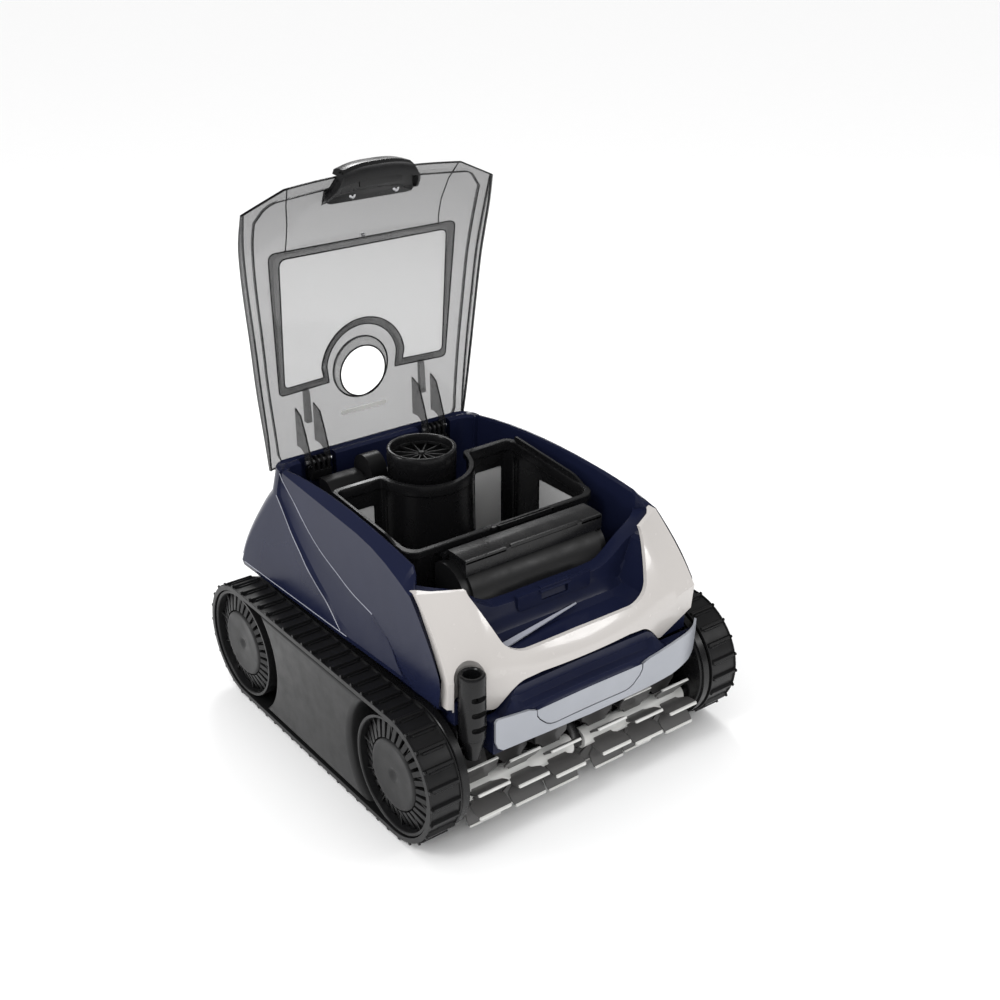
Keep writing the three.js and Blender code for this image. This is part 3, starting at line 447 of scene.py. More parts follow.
def side_box(node, side):
    """Inner and outer X of a node, counted outwards from the middle, and its lowest and highest corner."""
    low, high = box_of(node)
    inner, outer = (low.x, high.x) if side > 0 else (-high.x, -low.x)
    return inner, outer, low, high


def stadium(radius, steps=40):
    return arc(HALF_BASE, AXLE_Z, radius, -90, 90, steps) + arc(-HALF_BASE, AXLE_Z, radius, 90, 270, steps)


def on_belt(turn, lift):
    """Y and Z of a point on the belt. turn counts lugs from the front of the floor run."""
    straight, bend = BELT["lugs_straight"], BELT["lugs_arc"]
    lap = turn % (2 * (straight + bend))
    radius = BELT["base"] + lift
    second = lap >= straight + bend
    side = -1 if second else 1
    lap -= (straight + bend) if second else 0
    if lap < straight:
        return side * lerp(-HALF_BASE, HALF_BASE, lap / straight), AXLE_Z - side * radius
    angle = ((lap - straight) / bend - 0.5) * math.pi
    return side * (HALF_BASE + radius * math.cos(angle)), AXLE_Z + side * radius * math.sin(angle)


def belt_ridge(shape, turn, x0, x1, foot, top, height, end_slope=0):
    """A low bar across the belt. foot and top are its widths in lug pitches."""
    ends = []
    for x, inward in ((x0, end_slope), (x1, -end_slope)):
        ends.append([
            (x, *on_belt(turn - foot / 2, -0.6)), (x + inward, *on_belt(turn - top / 2, height)),
            (x + inward, *on_belt(turn + top / 2, height)), (x, *on_belt(turn + foot / 2, -0.6)),
        ])
    shape.block([p for end in ends for p in end])


def make_track(side, name):
    shape = Shape()
    inner, outer = BELT["inner"], BELT["outer"]
    bore = BELT["bore"] - BELT["base"]
    rail = BELT["rail"]
    section = [
        (inner, bore), (outer, bore), (outer, rail), (outer - 1.6, rail), (outer - 2.2, 0),
        (inner + 2.2, 0), (inner + 1.6, rail), (inner, rail),
    ]
    lugs = 2 * (BELT["lugs_straight"] + BELT["lugs_arc"])
    steps = lugs * 4
    rings = [[(x, *on_belt(i * lugs / steps, lift)) for x, lift in section] for i in range(steps)]
    shape.grid(rings, loop_rows=True, loop_columns=True)
    height = TIP - BELT["base"]
    for lug in range(lugs):
        middle = lug + 0.5
        belt_ridge(shape, middle, inner + 1.5, outer - 2.5, 0.26, 0.14, height * 0.8, 1.2)
        belt_ridge(shape, middle + 0.16, inner + 5, outer - 7, 0.16, 0.1, height * 0.35, 1.5)
        belt_ridge(shape, middle, outer - 3, outer - 0.1, 0.3, 0.12, height, 0.4)
    shape.verts = [(side * x, y, z) for x, y, z in shape.verts]
    piece(f"belt_{name}", shape, RUBBER, "chassis", [f"track_{name}"], edge=0.45, segments=1)


def polar(side, y, radius, angle, x):
    return (side * x, y + radius * math.cos(angle), AXLE_Z + radius * math.sin(angle))


def make_wheel(side, name, end, y):
    inner, face, low, high = side_box(f"wheel_{end}_{name}", side)
    radius = (high.z - low.z) / 2
    rim, back, web = WHEEL["rim"], WHEEL["back"], WHEEL["web"]
    bore, hub, r0 = WHEEL["bore"], WHEEL["hub"], WHEEL["fin_in"]
    dish, seat = inner + WHEEL["dish"], face - WHEEL["cap_seat"]
    profile = [
        (bore, inner), (hub, inner), (hub, dish), (web, dish), (web, inner), (radius, inner), (radius, face),
        (rim + 1, face), (rim, face - 1.2), (rim - 1.2, back), (r0, back), (r0 - 0.4, seat), (bore, seat),
    ]
    shape = Shape().turned("x", (y, AXLE_Z), [(r, side * x) for r, x in profile], 96)
    for fin in range(WHEEL["fins"]):
        middle = math.tau * (fin + 0.5) / WHEEL["fins"]
        half_in, half_out = math.radians(4.6), math.radians(3.9)
        r1 = rim - 1.0
        wide = [(r0, half_in), (r0, -half_in), (r1, -half_out), (r1, half_out)]
        corners = [polar(side, y, r, middle + h, back - 0.5) for r, h in wide]
        for r, h in wide:
            top = face - 2.2 if r == r0 else face - 8.5
            corners.append(polar(side, y, r, middle + h * 0.86, top))
        shape.block(corners)
        if fin % 3 == 0:
            r2 = rim - 0.4
            thin = math.radians(0.9)
            edge = middle + math.radians(6)
            web = [(r0, thin), (r0, -thin), (r2, -thin), (r2, thin)]
            shape.block([polar(side, y, r, edge + h, x) for x in (back - 0.5, face - 5.5) for r, h in web])
    piece(f"road_wheel_{end}_{name}", shape, SATIN, f"{end}_wheel_{name}",
          [f"wheel_{end}_{name}"], edge=0.5)


def make_hub_cap(side, name, end, y):
    base, face, low, high = side_box(f"hub_cap_{end}_{name}", side)
    radius = (high.z - low.z) / 2
    profile = [
        (0.01, base), (radius, base), (radius, face - 2.6), (radius - 0.7, face - 1.1),
        (radius - 2.2, face - 0.2), (radius - 4, face), (radius - 7, face - 0.5), (20, face - 0.9),
        (10, face - 1), (7, face - 1.3), (4.6, face - 2.6), (2, face - 3.3), (0.01, face - 3.4),
    ]
    shape = Shape().turned("x", (y, AXLE_Z), [(r, side * x) for r, x in profile], 72)
    piece(f"hub_disc_{end}_{name}", shape, CAP_GREY, f"{end}_wheel_{name}",
          [f"hub_cap_{end}_{name}"], edge=0, limit=50)


def make_side_panel(side, name):
    inner, outer, low, high = side_box(f"side_panel_{name}", side)

    def outline(inset):
        z0, z1 = low.z + inset, high.z - inset
        reach = SCOOP + inset
        start = math.degrees(math.asin((z0 - AXLE_Z) / reach))
        end = math.degrees(math.asin((z1 - AXLE_Z) / reach))
        rear = arc(HALF_BASE, AXLE_Z, reach, 180 - start, 180 - end, 28)
        front = arc(-HALF_BASE, AXLE_Z, reach, end, start, 28)
        return rear + front

    depths = [(0, inner), (0, outer - 7), (0.5, outer - 4), (2, outer - 1.6), (4.5, outer - 0.3), (7, outer)]
    rings = [[(side * x, a, b) for a, b in outline(inset)] for inset, x in depths]
    shape = Shape().loft(rings)
    piece(f"side_cover_{name}", shape, GREY, "chassis", [f"side_panel_{name}"],
          edge=0, limit=40)


def make_side_frame(side, name):
    inner, outer, low, high = side_box(f"side_frame_{name}", side)
    radius = (high.z - low.z) / 2
    rings = []
    for inset, x in ((1.5, inner), (0, inner + 1.5), (0, outer - 3), (0.9, outer - 1), (3, outer)):
        rings.append([(side * x, a, b) for a, b in stadium(radius - inset)])
    shape = Shape().loft(rings)
    rim = [
        (radius + 3.2, inner + 2), (radius + 3.2, outer - 2.4), (radius + 2.2, outer - 1.2),
        (radius - 8, outer - 1.2), (radius - 8, inner + 2),
    ]
    for y in (-HALF_BASE, HALF_BASE):
        shape.turned("x", (y, AXLE_Z), [(r, side * x) for r, x in rim], 96)
    piece(f"guard_{name}", shape, BLACK, "chassis", [f"side_frame_{name}"], edge=0, limit=35)


def make_running_gear():
    for name, side in SIDES.items():
        make_track(side, name)
        make_side_panel(side, name)
        make_side_frame(side, name)
        for end, y in (("front", -HALF_BASE), ("rear", HALF_BASE)):
            make_wheel(side, name, end, y)
            make_hub_cap(side, name, end, y)
            keep_node(f"axle_{end}_{name}", STEEL)
        keep_node(f"drive_pinion_{name}", WHITE, 0.3)
        keep_node(f"drive_motor_{name}", SATIN)


# ---------------------------------------------------------------- body shell
BODY_LOW, BODY_HIGH = box_of("body_shell")
SIDE = {"half": BODY_HIGH.x, "z": 150, "front": 0.085, "rear": 0.248, "from": -110, "to": 185}
REAR = {"low": BODY_HIGH.y, "high": 193, "foot": 150, "brow": 252, "bend": 2.6, "corner": 24}
WAIST_Z = 260
RIM_Z = 281.5
# Y of the upper and the lower crease at a height.
crease_a = curve_through([
    (150, -150), (170, -128), (190, -104), (206, -72), (212.3, -26), (221.3, 11.8), (228.4, 41.5),
    (237.1, 68.6), (248.2, 95.3), (261.1, 123.5), (273.3, 154.8), (282, 170.5),
])
crease_b = curve_through([
    (150, -24), (165, 2.5), (179.4, 26.5), (189, 50.6), (200.4, 75.9), (211, 94.1), (223.7, 117.4),
    (241.1, 145), (254.5, 168.3),
])


def edge_z(y):
    """Height of the side's upper edge."""
    return RIM_Z - 0.0016 * max(-20 - y, 0) ** 2


def crest(y):
    """Half width and height of the rim's crest. Its front end drops to the bezel."""
    fall = 0.00046 if y < 45 else 0.0007
    height = 293.2 - fall * (y - 45) ** 2
    half = 145.8 - 0.037 * y
    if y < -121:
        t = clamp((-121 - y) / 9, 0, 1)
        height = max(lerp(height, 262, t), 262)
        half = lerp(half, 158, t)
    return half, height


def side_half(y, z):
    lean = lerp(SIDE["front"], SIDE["rear"], (y - SIDE["from"]) / (SIDE["to"] - SIDE["from"]))
    return SIDE["half"] - lean * max(z - SIDE["z"], 0)


def rear_y(z):
    share = clamp((z - REAR["foot"]) / (REAR["brow"] - REAR["foot"]), 0, 1)
    return lerp(REAR["low"], REAR["high"], share ** REAR["bend"])


def rear_corner(z):
    return lerp(9, REAR["corner"], smooth_step((z - 155) / 75))


def skirt_z(y):
    return 151.5 + (BODY_HIGH.y - 4 - y) * 0.031


def front_y(z):
    return bezel_y(169, clamp(z, 150, 261)) + 6


GROOVE = curve_through([(0, 0), (0.1, 0.9), (0.2, 1), (0.6, 0.85), (0.93, 0.55), (1, 0)])


def groove(t, z):
    """How far the band between the creases lies below the side. t runs from the upper one to the lower."""
    depth = 5.5 * clamp((z - 148) / 40, 0.15, 1)
    return depth * GROOVE(t)


def side_columns(z):
    """Y and depth of the groove, from the front edge to the start of the rear corner."""
    first = front_y(z)
    corner = rear_y(z) - rear_corner(z)
    b = clamp(crease_b(z), first + 60, corner - 3)
    a = clamp(crease_a(z), first + 24, b - 6)
    nose = [first, first + 6, first + 10, first + 14, first + 19]
    ahead = [lerp(nose[-1], a, i / 9) for i in range(1, 10)]
    middle = [lerp(a, b, t) for t in (0.1, 0.2, 0.45, 0.7, 0.93, 1)]
    behind = [lerp(b, corner, i / 5) for i in range(1, 6)]
    out = [(y, 0) for y in nose + ahead]
    out += [(y, groove((y - a) / (b - a), z)) for y in middle]
    return out + [(y, 0) for y in behind]


def half_level(z, height, width, back, column_z=None):
    """Right half of one row of the shell. height, width and back give a point's Z, half width and rear Y."""
    row = [(width(y) - dip, y, height(y)) for y, dip in side_columns(column_z or z)]
    corner = rear_corner(z)
    start_y = back - corner
    last_y = row[-1][1]
    row[-1] = (width(start_y), start_y, height(start_y))
    centre_x = width(start_y) - corner
    for i in range(1, 11):
        angle = math.radians(9 * i)
        y = start_y + corner * math.sin(angle)
        row.append((centre_x + corner * math.cos(angle), y, height(min(y, last_y + 24))))
    row += [(centre_x * (1 - i / 5), back, height(back)) for i in range(1, 6)]
    return row


def body_rows():
    rows = []

    def level(z, **forms):
        rows.append(half_level(z, forms["height"], forms["width"], forms["back"], forms.get("column_z")))

    level(152, height=lambda y: skirt_z(y) - 9, width=lambda y: SIDE["half"] - 5, back=rear_y(152) - 5)
    level(152, height=lambda y: skirt_z(y) - 5.5, width=lambda y: SIDE["half"] - 1.4, back=rear_y(152) - 1.5)
    level(158, height=skirt_z, width=lambda y: SIDE["half"] - 0.6, back=rear_y(152))
    for z in (170, 182, 194, 206, 218, 230, 242, 252, WAIST_Z):
        level(z, height=lambda y, z=z: z, width=lambda y, z=z: side_half(y, z), back=rear_y(z))
    for share in (0.35, 0.7, 1):
        z = lerp(WAIST_Z, RIM_Z, share)
        level(z, height=lambda y, s=share: lerp(WAIST_Z, max(edge_z(y), WAIST_Z + 0.2), s),
              width=lambda y, s=share: side_half(y, lerp(WAIST_Z, edge_z(y), s)),
              back=REAR["high"], column_z=z)

    def crest_height(drop):
        return lambda y: max(crest(y)[1], WAIST_Z + 0.4) - drop

    def shoulder(share):
        return lambda y: lerp(max(edge_z(y), WAIST_Z + 0.2), crest_height(0)(y), share)

    def shoulder_width(share):
        return lambda y: lerp(side_half(y, edge_z(y)), crest(y)[0], share) - 0.5 * math.sin(share * math.pi)

    def rim(height, width, setback):
        level(RIM_Z, height=height, width=width, back=REAR["high"] - setback, column_z=RIM_Z)

    rim(shoulder(0.5), shoulder_width(0.5), 1.5)
    rim(crest_height(0), lambda y: crest(y)[0], 4)
    rim(crest_height(0.4), lambda y: crest(y)[0] - 1.6, 7)
    for depth, inset in ((3.5, 2.6), (30, 3.2), (80, 4), (150, 5)):
        rim(lambda y, d=depth: max(crest_height(d)(y), 124), lambda y, i=inset: crest(min(y, 190))[0] - i, 13)
    return rows


def make_crease_highlights():
    """Pale cords that paint highlights along the two creases, the foot and the rear corner of each side."""
    edges = Shape()
    for side in (-1, 1):
        for crease, low, top, radius in ((crease_a, 207, 279, 0.55), (crease_b, 160, 253, 0.6)):
            path = [(crease(z), z) for z in evenly(low, top, 41)]
            edges.cord([(side * (side_half(y, z) + 0.05), y, z) for y, z in path], radius, 6)
        foot = [(side * (SIDE["half"] - 0.6), y, skirt_z(y) + 0.4) for y in evenly(-20, 214, 41)]
        edges.cord(foot, 0.55, 6)
        corner = []
        for z in evenly(158, 250, 25):
            cut = rear_corner(z) * 0.29
            corner.append((side * (side_half(rear_y(z) - 6, z) - cut), rear_y(z) - cut + 0.1, z))
        edges.cord(corner, 0.5, 6)
    piece("body_crease_highlights", edges, PAINTED_HIGHLIGHT, "chassis", edge=0, limit=60)


def make_body_shell():
    rows = []
    for half in body_rows():
        flat = [(x, y, z) if abs(x) < 1e-6 else (max(x, 0.0), y, z) for x, y, z in half]
        rows.append(flat + [(-x, y, z) for x, y, z in flat[:-1]][::-1])
    shape = Shape()
    wide = len(rows[0])
    high = len(rows)
    shape.grid(rows, loop_rows=True)
    shape.faces.append(tuple(r * wide for r in range(high)))
    shape.faces.append(tuple(r * wide + wide - 1 for r in range(high))[::-1])
    cutters = []
    for name in SIDES:
        low, high_corner = box_of(f"hinge_bracket_{name}")
        cutters.append(Shape().box(low.x - 10, high_corner.x + 10, 150, 189.4, 250, 330))
    mesh = carved("body_cover", shape, cutters)
    piece("body_cover", mesh, NAVY, "chassis", ["body_shell"], edge=0.7, limit=14, segments=3)
    make_crease_highlights()


# ---------------------------------------------------------------- front of the body
GLAND_LOW, GLAND_HIGH = box_of("cable_gland")
GLAND = {"x": (GLAND_LOW.x + GLAND_HIGH.x) / 2, "y": (GLAND_LOW.y + GLAND_HIGH.y) / 2,
         "radius": (GLAND_HIGH.x - GLAND_LOW.x) / 2}
CREASE = {"x": 165, "y": -219, "z": 181, "back": 14, "rise": 8}
BEZEL_HALF = 169
LEG_X = 114


def bezel_face(x):
    """Outer face of the bezel at one x, from its top edge to its foot, as (Y, Z)."""
    reach = abs(x)
    share = reach / CREASE["x"]
    crease = (CREASE["y"] + CREASE["back"] * share**2, CREASE["z"] + CREASE["rise"] * share**2)
    outward = clamp((reach - 118) / 45, 0, 1.1)
    inward = clamp(reach / 118, 0, 1)
    top = (lerp(-150, -166, inward) + 22 * outward, 262)
    bulge = 6 * inward
    if reach < LEG_X:
        foot_y = -226 + 18 * (reach / LEG_X) ** 2
    else:
        foot_y = -208 + 9 * (reach - LEG_X) / (BEZEL_HALF - LEG_X)
    upper = []
    for t in evenly(0, 1, 9):
        y = lerp(top[0], crease[0], t) - bulge * math.sin(math.pi * t) * 0.9
        upper.append((y, lerp(top[1], crease[1], t)))
    lower = [(lerp(crease[0], foot_y, t), lerp(crease[1], 138, t)) for t in (0.12, 0.5, 1)]
    return upper + lower


def bezel_y(x, z):
    """Y of the bezel's outer face."""
    line = [(level, y) for y, level in bezel_face(x)]
    for (z0, y0), (z1, y1) in zip(line, line[1:]):
        if z1 <= z <= z0:
            return lerp(y0, y1, (z0 - z) / (z0 - z1))
    return line[0][1] if z > line[0][0] else line[-1][1]


def before_bezel():
    """The space in front of the bezel's face."""
    rings = []
    for x in evenly(-185, 185, 57):
        face = [(y + 0.6, z) for y, z in bezel_face(clamp(x, -BEZEL_HALF, BEZEL_HALF))]
        face = [(face[0][0] + 20, 285), *face, (face[-1][0], 100)]
        rings.append([(x, y, z) for y, z in face] + [(x, -320, 100), (x, -320, 285)])
    return Shape().loft(rings)


def bezel_loft(depth):
    """The bezel as a full plate. It grows thicker towards its sides and narrower towards its top."""
    rings = []
    for x in evenly(-BEZEL_HALF, BEZEL_HALF, 57):
        face = bezel_face(x)
        thick = depth + 7 * smooth_step((abs(x) - 150) / 17)
        ring = [(x, y, z) for y, z in face] + [(x, y + thick, z) for y, z in reversed(face)]
        edge = smooth_step((abs(x) - 100) / 69)
        rings.append([(x * (1 - 0.034 * edge * clamp((z - 190) / 72, 0, 1)), y, z) for x, y, z in ring])
    return Shape().loft(rings)


def mirrored(half):
    """A line from its left half and its middle point."""
    return half + [(-x, z) for x, z in reversed(half[:-1])]


OPENING = mirrored([(-118, 280), (-118, 258), (-97, 206), (-78, 196.5), (0, 195.5)])
OPENING_RADII = [0, 3, 22, 30, 0, 30, 22, 3, 0]


def gland_recess(extra):
    """Upright round recess with a domed top."""
    radius = GLAND["radius"] + extra
    profile = [(0.01, 110), (radius, 110), (radius, 190)]
    profile += [(radius * math.cos(math.radians(a)), 190 + radius * 1.15 * math.sin(math.radians(a)))
                for a in (15, 30, 45, 60, 75)] + [(0.01, 190 + radius * 1.15)]
    return Shape().turned("z", (GLAND["x"], GLAND["y"]), profile, 48)


def make_bezel():
    half_arch = [(-200, 90), (-200, 161), (-169, 159), (-114, 140.5), (-99, 158), (-86, 168.5), (-60, 171.5)]
    arch = half_arch + [(-x, z) for x, z in reversed(half_arch)]
    arch_radii = [0, 0, 4, 6, 14, 16, 0, 0, 16, 14, 6, 4, 0, 0]
    cutters = [
        Shape().slab("y", rounded(OPENING, OPENING_RADII, 8), -300, -100),
        Shape().slab("y", rounded(arch, arch_radii, 6), -300, -100),
        gland_recess(4),
    ]
    mesh = carved("bezel_cover", bezel_loft(5), cutters)
    piece("bezel_cover", mesh, PEARL, "chassis", ["bezel"], edge=1.0, limit=32, segments=3)
    liner = carved("gland_recess", gland_recess(5.6), [
        gland_recess(3.9), before_bezel(), Shape().box(-400, 400, -400, -100, 0, 153),
    ])
    piece("gland_recess", liner, PEARL, "chassis", edge=0.3)


top_edge = curve_through([(0, 221), (60, 221), (76, 223), (112, 246), (122, 250), (158, 259)])
rim_back = curve_through([(0, -137), (96, -137), (124, -134), (144, -124), (154, -112), (158, -100)])


def opening_z(reach):
    """Height of the bezel's opening at a distance from the middle."""
    if reach < 70:
        return 193
    if reach < 97:
        return 193 + 9 * ((reach - 70) / 27) ** 2
    return 202 + (reach - 97) * 2.45


def make_front_tray():
    """The navy bowl behind the bezel, with a sloped top flange round the front of the bay."""
    rings = []
    stations = [-158, -152, -144, -134, -126, -120, -116, -112, -106, -101, -97, -92, -86, -78, -70, -58]
    stations += [-40, -20]
    stations += [0] + [-x for x in reversed(stations)]
    floor = [(-204, 190), (-196, 187), (-184, 186), (-171, 189.5), (-163, 195), (-157, 204), (-154.4, 214)]
    for x in stations:
        reach = abs(x)
        top = top_edge(reach)
        low = opening_z(reach) - 3
        back = rim_back(reach)
        outward = clamp((reach - 118) / 10, 0, 1)
        row = [(x, lerp(y, max(y, -160), outward), clamp(max(z, low), 120, top)) for y, z in floor]
        row += [
            (x, -153.5, top), (x, lerp(-152, back, 0.12), top + 0.8), (x, back, top + 2.2),
            (x, back + 0.5, 126), (x, -190, 126),
        ]
        if reach > 70:
            row = [(x, max(y, bezel_y(x, clamp(z, 140, 261)) + 6), z) for x, y, z in row]
        rings.append(row)
    shape = Shape().loft(rings)
    piece("front_bowl", shape, NAVY, "chassis", ["front_tray"], edge=0.6, limit=24, segments=2)
    # A pale strip along the bowl's floor: painted highlight standing in for the light streak on its curved
    # fillet.
    ledge = Shape()
    ledge.block([(-104, -190, 190), (-104, -190, 192.4), (-104, -182, 194.6), (-104, -182, 189),
                 (28, -167, 197), (28, -167, 198.2), (28, -165.6, 199), (28, -165.6, 196)])
    piece("bowl_ledge_highlight", ledge, PAINTED_HIGHLIGHT, "chassis", edge=0.5)
    low, high = box_of("lid_catch")
    plate = rounded([
        (low.x, low.z), (high.x, low.z), (high.x, high.z), (24, high.z), (24, high.z + 1.5),
        (-14, high.z + 1.5), (-14, high.z), (low.x, high.z),
    ], [6, 6, 2, 0.5, 0.8, 0.8, 0.5, 2], 4)
    slot = rounded([(-13, 211), (23, 211), (23, 221), (-13, 221)], 1.5, 3)
    catch = Shape().slab("y", plate, low.y - 1, high.y, [slot])
    piece("catch_plate", catch, NAVY, "chassis", ["lid_catch"], edge=0.7)
    lip = Shape().box(-16, 26, low.y - 4, high.y - 2, 221.6, 223.6)
    piece("catch_lip", lip, NAVY, "chassis", edge=0.5)


# Y of the bumper's front face at an x.
bumper_y = curve_through([
    (-128.5, -228.6), (-60, -227), (0, -226.2), (60, -227), (100, -227.3), (140, -223.5), (162, -215.5),
    (176, -204.5),
])
FLAP_HALF = 73


def through(points, x):
    """Straight lines between (x, value) points sorted by x."""
    for (x0, v0), (x1, v1) in zip(points, points[1:]):
        if x <= x1:
            return lerp(v0, v1, clamp((x - x0) / (x1 - x0), 0, 1))
    return points[-1][1]


def fascia(low_line, high_line, lift, thickness):
    """A curved plate on the bumper's face between a lower and an upper line of (x, z) points."""
    start, end = low_line[0][0], low_line[-1][0]
    corners = [x for x, _ in low_line + high_line]
    stations = sorted({*corners, *evenly(start, end, 49)})
    rings = []
    for x in stations:
        front = bumper_y(x) + lift
        back = front + thickness
        low, high = through(low_line, x), through(high_line, x)
        rings.append([(x, front, low), (x, front, high), (x, back, high), (x, back, low)])
    return Shape().loft(rings)


def dense(outline, step=9):
    """The same outline with extra points on its long sides."""
    out = []
    for i, (a, b) in enumerate(outline):
        c, d = outline[(i + 1) % len(outline)]
        count = max(1, round(math.hypot(c - a, d - b) / step))
        out += [(lerp(a, c, k / count), lerp(b, d, k / count)) for k in range(count)]
    return out


def make_bumper():
    notch = [(74.3, 133.6), (74, 126), (70, 120), (61, 111.5), (55, 108.6), (48, 107.5)]
    foot = [
        (-128.5, 117), (-125.5, 109), (-119, 104), (-60, 100.5), (0, 98), (60, 99), (119, 102), (150, 107.5),
        (166, 116), (176, 130),
    ]
    brow = [(-128.5, 141), (-126, 143.6), (-85, 138), *[(-x, z) for x, z in notch], *reversed(notch)]
    brow += [(85, 137), (130, 143), (176, 143.4)]
    cover = fascia(foot, brow, 0, 3.2)
    piece("bumper_cover", cover, SILVER, "chassis", ["bumper"], edge=0.8, limit=35)
    flap_foot = [(-FLAP_HALF, 127), (-69.2, 120.6), (-60.4, 112.3), (-54.6, 109.5), (-48, 108.4)]
    flap_foot += [(-x, z) for x, z in reversed(flap_foot)]
    flap = fascia(flap_foot, [(-FLAP_HALF, 133.4), (FLAP_HALF, 133.4)], 0.15, 3)
    piece("bumper_flap", flap, SILVER, "chassis", ["bumper_insert"], edge=0.8, limit=35)
    rings = []
    for x in evenly(-FLAP_HALF, FLAP_HALF, 25):
        taper = clamp((FLAP_HALF - abs(x)) / 8, 0, 1)
        front = bumper_y(x) + 0.6
        rings.append([(x, front, 132.6), (x, front, 134), (x, front + 2.5, lerp(134.4, 136.6, taper)),
                      (x, front + 9, lerp(136, 141.5, taper)), (x, front + 12, 132)])
    piece("flap_lip", Shape().loft(rings), NAVY, "chassis", edge=0.6, limit=18)


def make_front_skirt():
    low, high = box_of("front_skirt")
    rings = []
    for x in evenly(low.x, high.x, 41):
        front = bumper_y(x) + 3.6 + 2 * smooth_step((abs(x) - 108) / 40)
        top = lerp(137, 163, smooth_step((116 - abs(x)) / 26))
        recess = smooth_step((108 - abs(x)) / 22)
        ring = [
            (front, 100), (front, 137), (front + 1.2, 139.5),
            (front + 5 + 3 * recess, lerp(top, 143, recess)), (front + 7 + 4 * recess, lerp(top, 150, recess)),
            (front + 8 + recess, top), (high.y, top), (high.y, 100),
        ]
        rings.append([(x, min(y, high.y), z) for y, z in ring])
    piece("skirt_cover", Shape().loft(rings), NAVY, "chassis", ["front_skirt"],
          edge=0.7, limit=18)
    filler = Shape()
    for side in (-1, 1):
        corners = [(112, -201), (112, -188), (160, -188), (160, -201)]
        filler.block([(side * x, y, z) for z in (163, 136) for x, y in corners])
    piece("skirt_backing", filler, NAVY, "chassis", edge=0.5)


def make_gland():
    r = GLAND["radius"]
    z0, z1 = GLAND_LOW.z, GLAND_HIGH.z
    profile = [
        (0.01, z0), (5.5, z0), (8, z0 + 1), (r - 2.2, z0 + 20), (r - 1.4, z0 + 24.5), (r - 1.4, z0 + 26),
        (r, z0 + 27.4), (r, z1 - 3), (r - 0.8, z1 - 1), (r - 2.4, z1), (10.4, z1), (9.2, z1 - 1.2),
        (8.6, z1 - 8), (8.6, z1 - 32), (0.01, z1 - 32),
    ]
    body = Shape().turned("z", (GLAND["x"], GLAND["y"]), profile, 56)
    slots = []
    for height in (38, 56, 74):
        outline = rounded([(-9, 0), (15, 0), (15, 6.4), (-9, 6.4)], 3, 4)
        placed = [(GLAND["x"] + a, z0 + height + b) for a, b in outline]
        slots.append(Shape().slab("y", placed, GLAND["y"] - r - 4, GLAND["y"] - r + 6))
    mesh = carved("gland_body", body, slots)
    piece("gland_body", mesh, BLACK, "chassis", ["cable_gland"], edge=0.6, limit=32)


# ---------------------------------------------------------------- brushes
BRUSH = {"blades": 8, "groups": 3, "tip": 38.2, "core": 11.5, "bore": 4.6}
BLADE_HALVES = [(9, 12), (15, 13), (21, 21.5), (29, 22), (BRUSH["tip"] - 2, 21)]
# Radius, half length and half thickness of each row of a blade and of its soft tip.
BLADE_ROWS = [(radius, half, lerp(1.6, 0.9, (radius - 9) / 28)) for radius, half in BLADE_HALVES]
TIP_ROWS = [(BRUSH["tip"] - 2.6, 20.6, 1.5), (BRUSH["tip"] - 0.6, 20, 1.5), (BRUSH["tip"], 19.4, 1.0)]


def make_brush(side, name):
    low, high = box_of(f"brush_{name}")
    y0, z0 = (low.y + high.y) / 2, (low.z + high.z) / 2
    from_x, to_x = min(abs(low.x), abs(high.x)), max(abs(low.x), abs(high.x))
    core, blades, tips = Shape(), Shape(), Shape()
    bore, outside = BRUSH["bore"], BRUSH["core"]
    tube = [(bore, from_x), (outside, from_x), (outside, to_x), (bore, to_x)]
    core.turned("x", (y0, z0), [(r, side * x) for r, x in tube], 40)
    pitch = (to_x - from_x) / BRUSH["groups"]

    def at(x, radius, angle, across):
        bend = 0.004 * max(radius - 12, 0) ** 2
        along = radius * math.cos(angle) - (across + bend) * math.sin(angle)
        up = radius * math.sin(angle) + (across + bend) * math.cos(angle)
        return (side * x, y0 + along, z0 + up)

    def strip(shape, angle, middle, rows):
        shape.loft([
            [at(middle + a * half, radius, angle, b * thick) for a, b in ((-1, -1), (1, -1), (1, 1), (-1, 1))]
            for radius, half, thick in rows
        ])

    for group in range(BRUSH["groups"]):
        middle = from_x + group * pitch + pitch / 2
        for blade in range(BRUSH["blades"]):
            angle = math.radians(90 + (blade * 45 + group * 15) * side)
            strip(blades, angle, middle, BLADE_ROWS)
            strip(tips, angle, middle, TIP_ROWS)
    body = f"brush_roller_{name}"
    piece(f"roller_core_{name}", core, PALE, body, [f"brush_{name}"], edge=0.4)
    piece(f"roller_blades_{name}", blades, BLADE, body, edge=0.3)
    piece(f"roller_tips_{name}", tips, PALE, body, edge=0.3)


# ---------------------------------------------------------------- filter basket
BASKET_LOW, BASKET_HIGH = box_of("basket_frame")
BASKET = {"half": 127, "front": -77, "rear": 80, "floor": BASKET_LOW.z, "wall": 2.5, "notch": 58}
TUBE_LOW, TUBE_HIGH = box_of("outlet_tube")
TUBE = {
    "x": 0, "y": (TUBE_LOW.y + TUBE_HIGH.y) / 2, "radius": (TUBE_HIGH.x - TUBE_LOW.x) / 2, "top": TUBE_HIGH.z,
}


